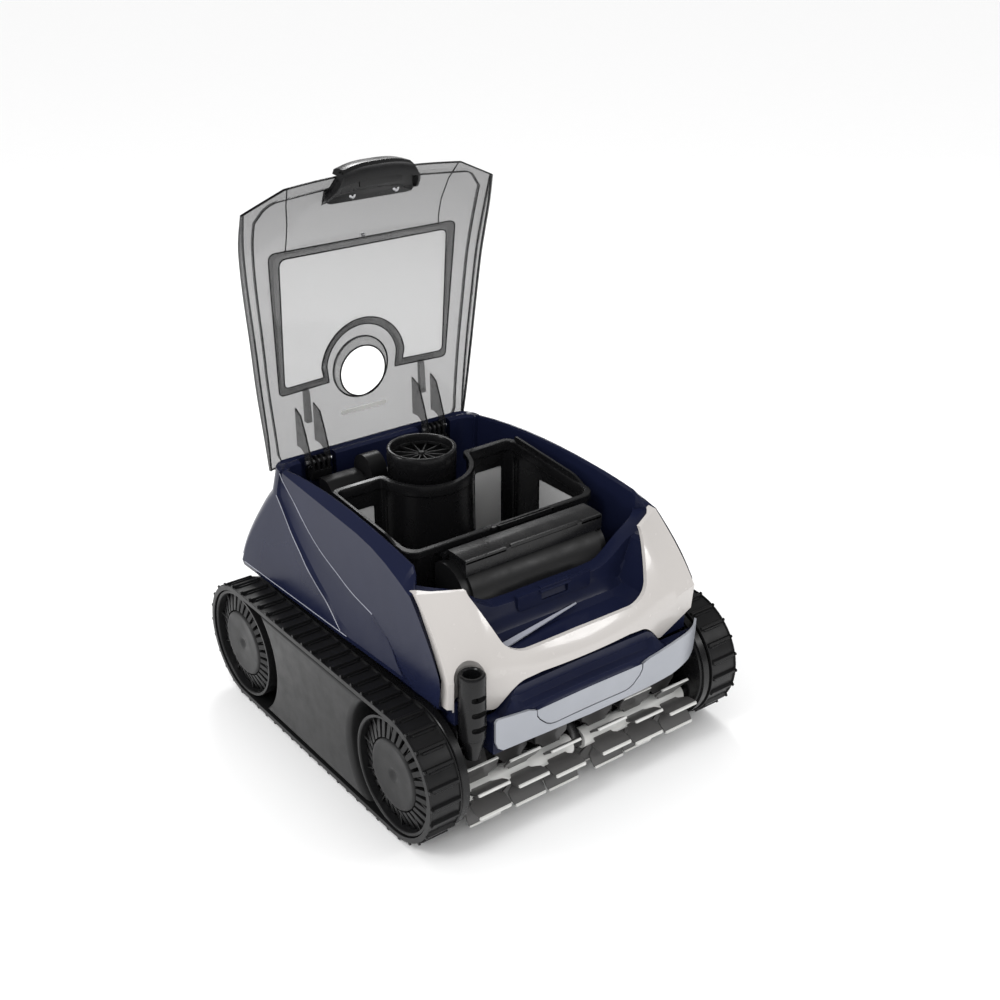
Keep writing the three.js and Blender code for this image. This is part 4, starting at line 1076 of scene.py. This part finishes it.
def basket_line(inset):
    """Plan of the basket wall: a rounded rectangle with a round bay for the outlet tube."""
    half, front, rear = BASKET["half"] - inset, BASKET["front"] + inset, BASKET["rear"] - inset
    notch = BASKET["notch"] + inset
    meet = math.degrees(math.asin((rear - 5 - TUBE["y"]) / notch))
    bay = arc(TUBE["x"], TUBE["y"], notch, 180 - meet, 360 + meet, 40)
    corner = 12 - inset * 0.5
    left = arc(-half + corner, rear - corner, corner, 180, 90, 6)
    shoulder_left = arc(bay[0][0] - 7, rear - 7, 7, 90, 0, 5)
    shoulder_right = arc(bay[-1][0] + 7, rear - 7, 7, 180, 90, 5)
    right = arc(half - corner, rear - corner, corner, 90, 0, 6)
    low_right = arc(half - 16, front + 16, 16, 0, -90, 8)
    low_left = arc(-half + 16, front + 16, 16, 270, 180, 8)
    return left + shoulder_left + bay + shoulder_right + right + low_right + low_left


def rim_z(y):
    return lerp(269, 283, (y - BASKET["front"]) / (BASKET["rear"] - BASKET["front"]))


def make_basket():
    wall = BASKET["wall"]
    # Inset of each ring of the wall, and its height from the floor or the rim.
    levels = [
        (4, "floor", 0), (1, "floor", 4), (0, "rim", -9), (-2.4, "rim", -7.5), (-2.6, "rim", -0.8),
        (-1.8, "rim", 0), (wall + 0.4, "rim", 0), (wall + 1, "rim", -1.2), (wall + 1.2, "rim", -12),
        (wall + 0.2, "rim", -14), (wall + 2.4, "floor", 6), (wall + 5, "floor", 3),
    ]
    rings = []
    for inset, level, lift in levels:
        plan = basket_line(inset)
        rings.append([(x, y, (rim_z(y) if level == "rim" else BASKET["floor"]) + lift) for x, y in plan])
    shape = Shape().loft(rings)
    cutters = []
    side_window = rounded([(-46, 164), (21, 164), (21, 250), (-46, 250)], 5, 4)
    for side in (-1, 1):
        cutters.append(Shape().slab("x", side_window, side * 112, side * 140))
    for side in (-1, 1):
        window = rounded([(side * 71, 164), (side * 113, 164), (side * 113, 251), (side * 71, 251)], 5, 4)
        cutters.append(Shape().slab("y", window, 66, 92))
    mesh = carved("basket_body", shape, cutters)
    piece("basket_body", mesh, BLACK, "filter_basket", ["basket_frame"], edge=0.7, limit=26)
    trim = Shape()
    for side in (-1, 1):
        outer, inner = side * 130.5, side * 127.6
        rail = [(72, rim_z(72) - 1), (72, rim_z(72) + 5), (-40, rim_z(-40) + 5), (-56, rim_z(-56) - 1)]
        trim.slab("x", rounded(rail, [1, 2, 8, 1], 4), min(outer, inner), max(outer, inner))
        trim.box(side * 120.5 - 1, side * 120.5 + 1, 62, 64.5, 130, rim_z(62) - 16)
    front = BASKET["front"]
    for y in (front - 6.4, front - 2.6):
        foot, top = rim_z(y) - 3, rim_z(y) + 2.2
        trim.slab("x", [(y, foot), (y + 1.3, foot), (y + 1.3, top), (y, top)], -14, 62)
    for x in (-14, 60.5):
        trim.box(x, x + 1.5, front - 6.4, front - 1.3, rim_z(front) - 3, rim_z(front) + 1.6)
    trim.box(-22, -15.5, front - 5.4, front - 2, rim_z(front) - 3, rim_z(front) + 1)
    piece("basket_rails", trim, BLACK, "filter_basket", edge=0.5)
    for name in ("left", "right", "rear_left", "rear_right"):
        keep_node(f"filter_mesh_{name}", CLOTH, 0.2)


def make_hood():
    low, high = box_of("basket_handle")
    front = low.y
    hood = rounded([
        (-80.5, 258), (-80.5, 262), (-91, 264), (-94.5, 271), (-108.6, 271.5), (front, 270), (front, 253),
        (front + 3, 253), (front + 3, 266.2), (-108, 267.6), (-96, 266), (-92, 259),
    ], [1, 1, 2, 2, 2, 2, 0.5, 0.5, 1, 1, 1, 0.5], 3)
    shape = Shape().slab("x", hood, low.x + 4, high.x)
    cheek = rounded([
        (-96, 268), (front + 1, 268), (front + 1, 249.5), (-124.5, 249.5), (-117, 257), (-108, 262),
        (-96, 262),
    ], 1, 2)
    for side in (-1, 1):
        shape.slab("x", cheek, side * 91 + 1, side * 91 + 3)
    lip = [(front, 266), (front + 2.6, 267), (front + 2.6, 270.4), (front, 270.4)]
    for x0, x1, lift in ((-90.5, -38, 0.0), (-32, 60, 1.3), (66, 94, 0.0)):
        shape.slab("x", [(y, z + lift) for y, z in lip], x0, x1)
    piece("basket_hood", shape, BLACK, "filter_basket", ["basket_handle"], edge=0.7)


def make_inlet_drum():
    high = box_of("inlet_duct")[1]
    y, z, radius = -100, 222, 38.5
    shape = Shape()

    def outline(r):
        return arc(y, z, r, 60, 270, 40) + [(-80.8, z - r), (-80.8, z + r * 0.84)]

    shape.slab("x", outline(radius), -88, 88)
    for side in (-1, 1):
        ends = sorted((side * 87, side * (high.x - 0.2)))
        shape.slab("x", outline(35.5), *ends)
    for x in (-42, 8, 58):
        for shift in (0, 4.4):
            rib = arc(y, z, radius + 1.6, 112, 128, 6) + arc(y, z, radius - 0.5, 128, 112, 6)
            shape.slab("x", rib, x + shift, x + shift + 1.2)
    piece("inlet_drum", shape, SATIN, "filter_basket", ["inlet_duct"], edge=0.7)


# ---------------------------------------------------------------- pump column
def make_manifold():
    low, high = box_of("rear_manifold")
    shape = Shape()
    column = [(130, low.z), (160, low.z), (160, 263), (142, 263), (130, 252)]
    shape.slab("x", rounded(column, [1, 1, 2, 5, 5], 4), low.x, -48)
    shape.slab("x", rounded([(133, low.z), (high.y, low.z), (high.y, 258), (133, 258)], 1, 2), -48, high.x)
    elbow = arc(146, 262, 20, 0, 180, 20)
    shape.slab("x", [(126, 214), *reversed(elbow), (166, 214)], -44, -22)
    piece("manifold", shape, SATIN, "chassis", ["rear_manifold"], edge=0.8)


def make_outlet():
    radius, top, base = TUBE["radius"], TUBE["top"], TUBE_LOW.z
    profile = [
        (radius - 3, base), (radius - 0.6, base), (radius - 0.6, top - 21), (radius, top - 20),
        (radius, top - 2.4), (radius - 0.7, top - 0.7), (radius - 2.4, top), (radius - 4.6, top - 0.4),
        (radius - 5.4, top - 2), (radius - 5, top - 12), (radius - 3, top - 13),
    ]
    centre = (TUBE["x"], TUBE["y"])
    piece("tube_wall", Shape().turned("z", centre, profile, 80), BLACK, "chassis",
          ["outlet_tube"], edge=0.4, limit=40)
    low, high = box_of("outlet_grille")
    grille = Shape()
    hub = [(0.01, low.z), (4.2, low.z), (4.2, high.z + 1), (3, high.z + 2), (0.01, high.z + 2)]
    grille.turned("z", centre, hub, 24)
    outer = radius - 4.4
    ring = [(outer - 2.2, low.z), (outer, low.z), (outer, high.z), (outer - 2.2, high.z)]
    grille.turned("z", centre, ring, 64)
    for spoke in range(12):
        bar = Shape().box(3, outer - 1, -0.75, 0.75, low.z, high.z)
        turn = Matrix.Translation((*centre, 0)) @ Matrix.Rotation(math.tau * (spoke + 0.5) / 12, 4, "Z")
        bar.moved(turn)
        grille.add(bar.verts, bar.faces)
    piece("tube_grille", grille, SATIN, "chassis", ["outlet_grille"], edge=0.3)


# ---------------------------------------------------------------- lid
LID_LOW, LID_HIGH = box_of("lid_shell")
LID_EDGE = [(277, 141, 199.7, 5), (310, 143.6, 200, 9), (370, 149.4, 199.3, 12), (430, 154.6, 195.4, 12),
            (490, 160.4, 191.3, 12), (520, 163.6, 187, 11.5), (550, 166.2, 180.8, 10), (583.5, 166.3, 170, 5)]
edge_half, edge_y, edge_deep = [curve_through([(row[0], row[k]) for row in LID_EDGE]) for k in (1, 2, 3)]
LID_BASE, LID_CORNER = 269, 583.5
HOLE = {"z": 361, "radius": 32, "collar_z": 365, "collar": 38.5}
CROWN = 13.5
ARCH_Z = 370


def lid_top(share):
    reach = abs(share)
    if reach < 0.7:
        return 611.5 - 5.5 * (reach / 0.7) ** 2
    return lerp(606, LID_CORNER, (reach - 0.7) / 0.3)


def lid_y(x, z):
    """Y of the lid's outer face."""
    level = min(z, LID_CORNER)
    share = clamp(x / edge_half(level), -1, 1)
    crown = CROWN * (1 - share**2)
    if abs(share) > 0.9:
        crown = CROWN * 0.19 * (1 - (abs(share) - 0.9) / 0.1)
    return edge_y(level) + crown - max(z - LID_CORNER, 0) * 0.65


def lid_panel():
    rows = []
    shares = [-1, -0.96, -0.92, -0.9, -0.88, -0.8, -0.7, -0.6, -0.45, -0.3, -0.15, 0]
    shares += [-s for s in reversed(shares[:-1])]
    for t in evenly(0, 1, 34):
        row = []
        for share in shares:
            z = lerp(LID_BASE, lid_top(share), t)
            x = share * edge_half(min(z, LID_CORNER))
            row.append((x, lid_y(x, z), z))
        rows.append(row)
    back = [[(x, y - 3, z) for x, y, z in row] for row in rows]
    shape = Shape()
    wide, high = len(shares), len(rows)
    layer = wide * high
    verts = [p for row in rows for p in row] + [p for row in back for p in row]
    faces = []
    for r in range(high - 1):
        for c in range(wide - 1):
            a = r * wide + c
            faces.append((a, a + 1, a + wide + 1, a + wide))
            faces.append((layer + a, layer + a + wide, layer + a + wide + 1, layer + a + 1))
    border = [c for c in range(wide)] + [r * wide + wide - 1 for r in range(1, high)]
    border += [(high - 1) * wide + c for c in range(wide - 2, -1, -1)]
    border += [r * wide for r in range(high - 2, 0, -1)]
    for i, a in enumerate(border):
        b = border[(i + 1) % len(border)]
        faces.append((a, b, b + layer, a + layer))
    return shape.add(verts, faces)


def rib_line(t):
    """Outline of the inner frame, with an arch over the outlet. t runs from its outer to its inner edge."""
    top, high = lerp(127, 114, t), lerp(530, 521.5, t)
    foot, low = lerp(118, 112, t), lerp(356, 365, t)
    reach = lerp(50, 59, t)
    right = rounded([(reach, low), (foot, low), (top, high), (-top, high), (-foot, low), (-reach, low)],
                    [3, 7, 9, 9, 7, 3], 4)
    return right + arc(0, ARCH_Z, reach, 172, 8, 24)


def flared_wall(shape, outer, inner, depth, gap=2.6):
    """A sloped band between two closed lines with as many points, the inner one raised by depth."""
    rings = []
    for (ax, az), (bx, bz) in zip(outer, inner):
        ay, by = lid_y(ax, az) - gap, lid_y(bx, bz) - gap - depth
        rings.append([(ax, ay, az), (bx, by, bz), (bx, by + 1.4, bz), (ax, ay + 1.4, az)])
    shape.grid(rings, loop_rows=True, loop_columns=True)


def wall_along(shape, line, depth, width=1.6, gap=2.4):
    """A wall that stands on the lid's inner face along a closed line in X and Z."""
    count = len(line)
    inner, outer = [], []
    for i, (x, z) in enumerate(line):
        ax, az = line[i - 1]
        bx, bz = line[(i + 1) % count]
        length = math.hypot(bx - ax, bz - az) or 1
        nx, nz = (bz - az) / length * width / 2, -(bx - ax) / length * width / 2
        for side, target in ((1, outer), (-1, inner)):
            px, pz = x + side * nx, z + side * nz
            target.append(((px, lid_y(px, pz) - gap, pz), (px, lid_y(px, pz) - gap - depth, pz)))
    rings = [[outer[i][0], outer[i][1], inner[i][1], inner[i][0]] for i in range(count)]
    shape.grid(rings, loop_rows=True, loop_columns=True)


def make_lid_sheet():
    """The sheet in two pieces: the border with its side flanges, and the thinner middle."""
    panel = lid_panel()
    for side in (-1, 1):
        rows = []
        for z in evenly(LID_BASE, LID_CORNER, 34):
            outer, y = side * edge_half(z), edge_y(z)
            inner, deep = outer - side * 2, y - edge_deep(z)
            rows.append([(outer, y - 0.5, z), (outer, deep, z), (inner, deep, z), (inner, y - 0.5, z)])
        panel.loft(rows)
    frame_slab = Shape().slab("y", rib_line(0.5), 100, 300)
    outlet = Shape().slab("y", circle(0, HOLE["collar_z"], HOLE["collar"], 64), 100, 300)
    mesh = carved("lid_panel", panel, [outlet, frame_slab])
    piece("lid_panel", mesh, SMOKE, "lid", ["lid_shell"], edge=0.5, limit=40)
    around = [(-300, 100), (300, 100), (300, 800), (-300, 800)]
    middle = carved("lid_middle", lid_panel(), [Shape().slab("y", around, 100, 300, [rib_line(0.5)])])
    piece("lid_middle", middle, SMOKE_THIN, "lid", edge=0, limit=40)


def lid_loop():
    """A closed line a little inside the lid's border."""
    fold = [(edge_half(z) * 0.9, z) for z in evenly(286, 572, 30)]
    crown = rounded([fold[-1], (134, 592), (60, 597)], [0, 14, 0], 6)
    foot = rounded([(60, 274), (124, 276), fold[0]], [0, 8, 0], 4)
    right = foot + fold + crown[7:]
    return right + [(-x, z) for x, z in reversed(right)]


def make_lid_ribs(loop):
    walls = Shape()
    flared_wall(walls, rib_line(0), rib_line(1), 3)
    wall_along(walls, loop, 4, 1.4)
    for side in (-1, 1):
        walls.slab("x", [(lid_y(84, 340) - 2.6, 358), (lid_y(84, 340) - 8, 354), (lid_y(84, 320) - 10, 316),
                         (lid_y(84, 320) - 2.6, 316)], side * 82 - 3.5, side * 82 + 3.5)
    collar = []
    for i in range(64):
        angle = math.tau * i / 64
        ax, az = HOLE["collar"] * math.cos(angle), HOLE["collar_z"] + HOLE["collar"] * math.sin(angle)
        bx, bz = HOLE["radius"] * math.cos(angle), HOLE["z"] + HOLE["radius"] * math.sin(angle)
        ay = lid_y(ax, az) + 0.5
        collar.append([(ax, ay, az), (bx, ay - 6, bz), (bx, ay - 4.6, bz), (ax, ay + 1.4, az)])
    walls.grid(collar, loop_rows=True, loop_columns=True)
    piece("lid_ribs", walls, SMOKE_WALL, "lid", edge=0.3, limit=40)


def make_lid_lines(loop):
    """Dark cords along the clear sheet's ribs, holes, folds and borders: painted shade where the sheet is seen
    edge on.
    """
    lines = Shape()

    def line(points, back, radius=0.75):
        lines.cord([(x, lid_y(x, z) - back, z) for x, z in points], radius)

    for share, back in ((0, 2.8), (1, 5.6)):
        outline = rib_line(share)
        line(outline + outline[:1], back, 0.8)
    line(loop + loop[:1], 6.4, 0.7)
    for z, radius, back in ((HOLE["collar_z"], HOLE["collar"], -0.6), (HOLE["z"], HOLE["radius"], 5)):
        ring = circle(0, z, radius, 56)
        line(ring + ring[:1], back, 1.1)
    for side in (-1, 1):
        corner = [(113, 605.5), (108, 585), (103.5, 560), (103, 540), (104, 527)]
        line([(side * x, z) for x, z in corner], 2.2, 0.8)
        edge = evenly(LID_BASE + 1, LID_CORNER, 31)
        lines.cord([(side * (edge_half(z) - 1.4), edge_y(z) - edge_deep(z) + 1.6, z) for z in edge], 1.5)
        lines.cord([(side * (edge_half(z) - 1.2), edge_y(z) - 0.8, z) for z in edge], 1.2)
    shares = evenly(-1, 1, 41)
    top = [(s * edge_half(min(lid_top(s), LID_CORNER)), lid_top(s) - 0.6) for s in shares]
    for back in (0.9, 2.6):
        line(top, back, 0.95)
    base = [(s * edge_half(LID_BASE) * 0.995, LID_BASE + 0.8) for s in shares]
    line(base, 1.5, 1.0)
    piece("lid_edge_shade", lines, EDGE_SHADE, "lid", edge=0, limit=60)


def make_lid_marks():
    """The pale bar low on the lid and the stud near its top."""
    outline = rounded([(-32, 310), (32, 310), (32, 315), (-32, 315)], 1.5, 3)
    bar = Shape().slab("y", outline, lid_y(0, 312) - 4.4, lid_y(0, 312) - 2.8)
    piece("lid_bar", bar, WHITE, "lid", edge=0.3)
    screw = Shape().turned("y", (0, 531), [(0.01, 0), (2.6, 0), (2.6, -1.6), (1.6, -2.8), (0.01, -3)], 20)
    screw.moved(Matrix.Translation((0, lid_y(0, 531) - 3.2, 0)))
    piece("lid_stud", screw, STEEL, "lid", edge=0)


def make_lid():
    loop = lid_loop()
    make_lid_sheet()
    make_lid_ribs(loop)
    make_lid_lines(loop)
    make_lid_marks()


def make_hinge_arms():
    """Angular smoked plates that carry the lid on its pins."""
    pin_y, pin_z = 181, 273.8
    shape = Shape()
    lines = Shape()
    for side in (-1, 1):
        for off, width in ((-13, 1.3), (13, 1.3)):
            x = side * 84 + off
            reach = lid_y(x, 320) - 2.6
            tall = 336
            arm = [(reach, tall), (reach, 288), (196, 288), (188.6, 284.5), (188.5, 272)]
            arm += arc(pin_y, pin_z, 6.6, -30, -180, 8) + [(175.5, 283), (185, 310), (193.5, tall - 6)]
            shape.slab("x", arm, x - width, x + width)
            # Black cords along the arms' edges paint the shade of the smoked plates where they are seen edge
            # on.
            lines.cord([(x, a, b) for a, b in arm[len(arm) - 4:] + [arm[0]]], 0.9)
    piece("hinge_arms", shape, SMOKE_WALL, "lid", edge=0.5)
    piece("hinge_arm_edge_shade", lines, BLACK, "lid", edge=0, limit=60)


# Y and Z round the grip's hooked section, at its middle.
GRIP = [
    (172, 588), (177, 583), (174.6, 590), (166.5, 601), (160, 612), (162, 617), (171, 617.5), (172, 622),
    (168, 624), (153, 624), (148.5, 621), (147, 616), (147, 606), (150.4, 606), (150.8, 615), (155, 618.6),
    (157.6, 611), (163, 600), (168.4, 591),
]


def make_handle():
    half = box_of("lid_handle")[1].x
    shape = Shape()
    hood = []
    for s in evenly(-1, 1, 25):
        drop = 5.5 * abs(s) ** 3
        hood.append([(s * half, y, z - drop) for y, z in GRIP])
    shape.loft(hood)
    for side in (-1, 1):
        x0, x1 = sorted((side * half, side * (half - 3)))
        cheek = rounded([(148, 600), (150, 618), (160, 617), (172, 586), (164, 584)], [6, 4, 3, 3, 3], 4)
        shape.slab("x", cheek, x0, x1)
    shape.verts = [(x * lerp(0.95, 0.68, clamp((z - 590) / 30, 0, 1)) - 3, y, z) for x, y, z in shape.verts]
    half_plate = [(-half, 596), (-half + 2, 583), (-half + 10, 577)]
    plate = rounded(half_plate + [(-x, z) for x, z in reversed(half_plate)], [2, 4, 4, 4, 4, 2], 4)
    flat = Shape().slab("y", dense(plate, 8), 0, 4)
    flat.verts = [(x, lid_y(x, z) - 7.6 + y, z) for x, y, z in flat.verts]
    shape.add(flat.verts, flat.faces)
    for tooth in range(4):
        x = 10 + tooth * 9
        y = lid_y(x, 592) - 7.8
        shape.block([(x - 3.2, y, 596), (x + 3.2, y, 596), (x + 3.2, y - 3, 596), (x - 3.2, y - 3, 596),
                     (x - 0.6, y, 589), (x + 0.6, y, 589), (x + 0.6, y - 1, 589), (x - 0.6, y - 1, 589)])
    piece("handle_grip", shape, BLACK, "lid", ["lid_handle"], edge=0.7, limit=28)
    screws = Shape()
    for x in (-24, 34):
        y = lid_y(x, 585) - 7.6
        dish = [(0.01, 0.4), (4.4, 0.4), (4.4, -0.8), (3.6, -1.4), (1.6, -1.2), (1.4, -0.4), (0.01, -0.4)]
        screws.turned("y", (x, 584.5), [(r, y + rise) for r, rise in dish], 24)
    piece("handle_screws", screws, STEEL, "lid", edge=0, limit=40)


# ---------------------------------------------------------------- everything else of the CAD frame
DARK_PARTS = (
    "chassis_base", "bay_floor", "intake_duct", "inlet_flap", "comb_plate", "brush_support", "pump_motor",
    "hinge_bracket_left", "hinge_bracket_right", "lid_latch",
)


def make_small_parts():
    for name in DARK_PARTS:
        keep_node(name, SATIN if name == "comb_plate" else BLACK, 0.6)
    keep_node("propeller", WHITE, 0.4)
    for name in ("brush_shaft", "pump_shaft", "hinge_pin_left", "hinge_pin_right"):
        keep_node(name, STEEL, 0.3)


# ---------------------------------------------------------------- studio
# The camera's place in metres and its turn were solved from the tracks, the wheels and the lid.
CAMERA = {"place_m": (-0.8296, -1.1558, 0.9483), "turn": (64.368, 0, -37.296), "lens": 50, "sensor": 36}
FLOOR_HALF = 60000
# Brightness of the world, and how bright it is in reflections.
WORLD = {"direct": 1.05, "glossy": 0.25}
# Name, place and aim in metres, width in metres, and power of each lamp.
LAMPS = [
    ("key", (-1.9, -0.2, 2.2), (0, 0, 0.2), 0.7, 20),
    ("back", (0.9, 1.7, 1.5), (0, 0, 0.25), 0.6, 14),
    ("left_low", (-2.2, 0.9, 0.7), (0, 0, 0.2), 0.5, 9),
    ("right", (1.6, -2.0, 1.6), (0, 0, 0.2), 0.6, 10),
]


def make_studio():
    half = FLOOR_HALF
    floor = link("floor", Shape().box(-half, half, -half, half, -20, -0.4).mesh("floor"))
    white = moulded("floor_white", (0.94, 0.94, 0.94), 0.8, vary=0.002, grain=0, level=0.1)
    floor.data.materials.append(white)
    world = bpy.data.worlds.new("studio")
    bpy.context.scene.world = world
    world.use_nodes = True
    tree = world.node_tree
    tree.nodes["Background"].inputs["Color"].default_value = (1, 1, 1, 1)
    path = tree.nodes.new("ShaderNodeLightPath")
    dim = spread(tree, path.outputs["Is Glossy Ray"], WORLD["direct"], WORLD["glossy"], 0, 1)
    tree.links.new(dim, tree.nodes["Background"].inputs["Strength"])
    for name, spot, aim, width, power in LAMPS:
        lamp = bpy.data.lights.new(name, "AREA")
        lamp.shape = "SQUARE"
        lamp.size = width
        lamp.energy = power
        made = bpy.data.objects.new(name, lamp)
        bpy.context.scene.collection.objects.link(made)
        made.location = spot
        made.rotation_euler = (Vector(aim) - Vector(spot)).to_track_quat("-Z", "Y").to_euler()
    bpy.context.scene.view_settings.view_transform = "Standard"
    camera = bpy.data.cameras.new("camera")
    camera.lens = CAMERA["lens"]
    camera.sensor_width = CAMERA["sensor"]
    eye = bpy.data.objects.new("camera", camera)
    bpy.context.scene.collection.objects.link(eye)
    eye.location = CAMERA["place_m"]
    eye.rotation_euler = [math.radians(a) for a in CAMERA["turn"]]
    bpy.context.scene.camera = eye


make_running_gear()
make_body_shell()
make_bezel()
make_front_tray()
make_bumper()
make_front_skirt()
make_gland()
for brush_name, brush_side in SIDES.items():
    make_brush(brush_side, brush_name)
make_basket()
make_hood()
make_inlet_drum()
make_outlet()
make_manifold()
make_lid()
make_hinge_arms()
make_handle()
make_small_parts()
make_studio()

bpy.context.view_layer.update()
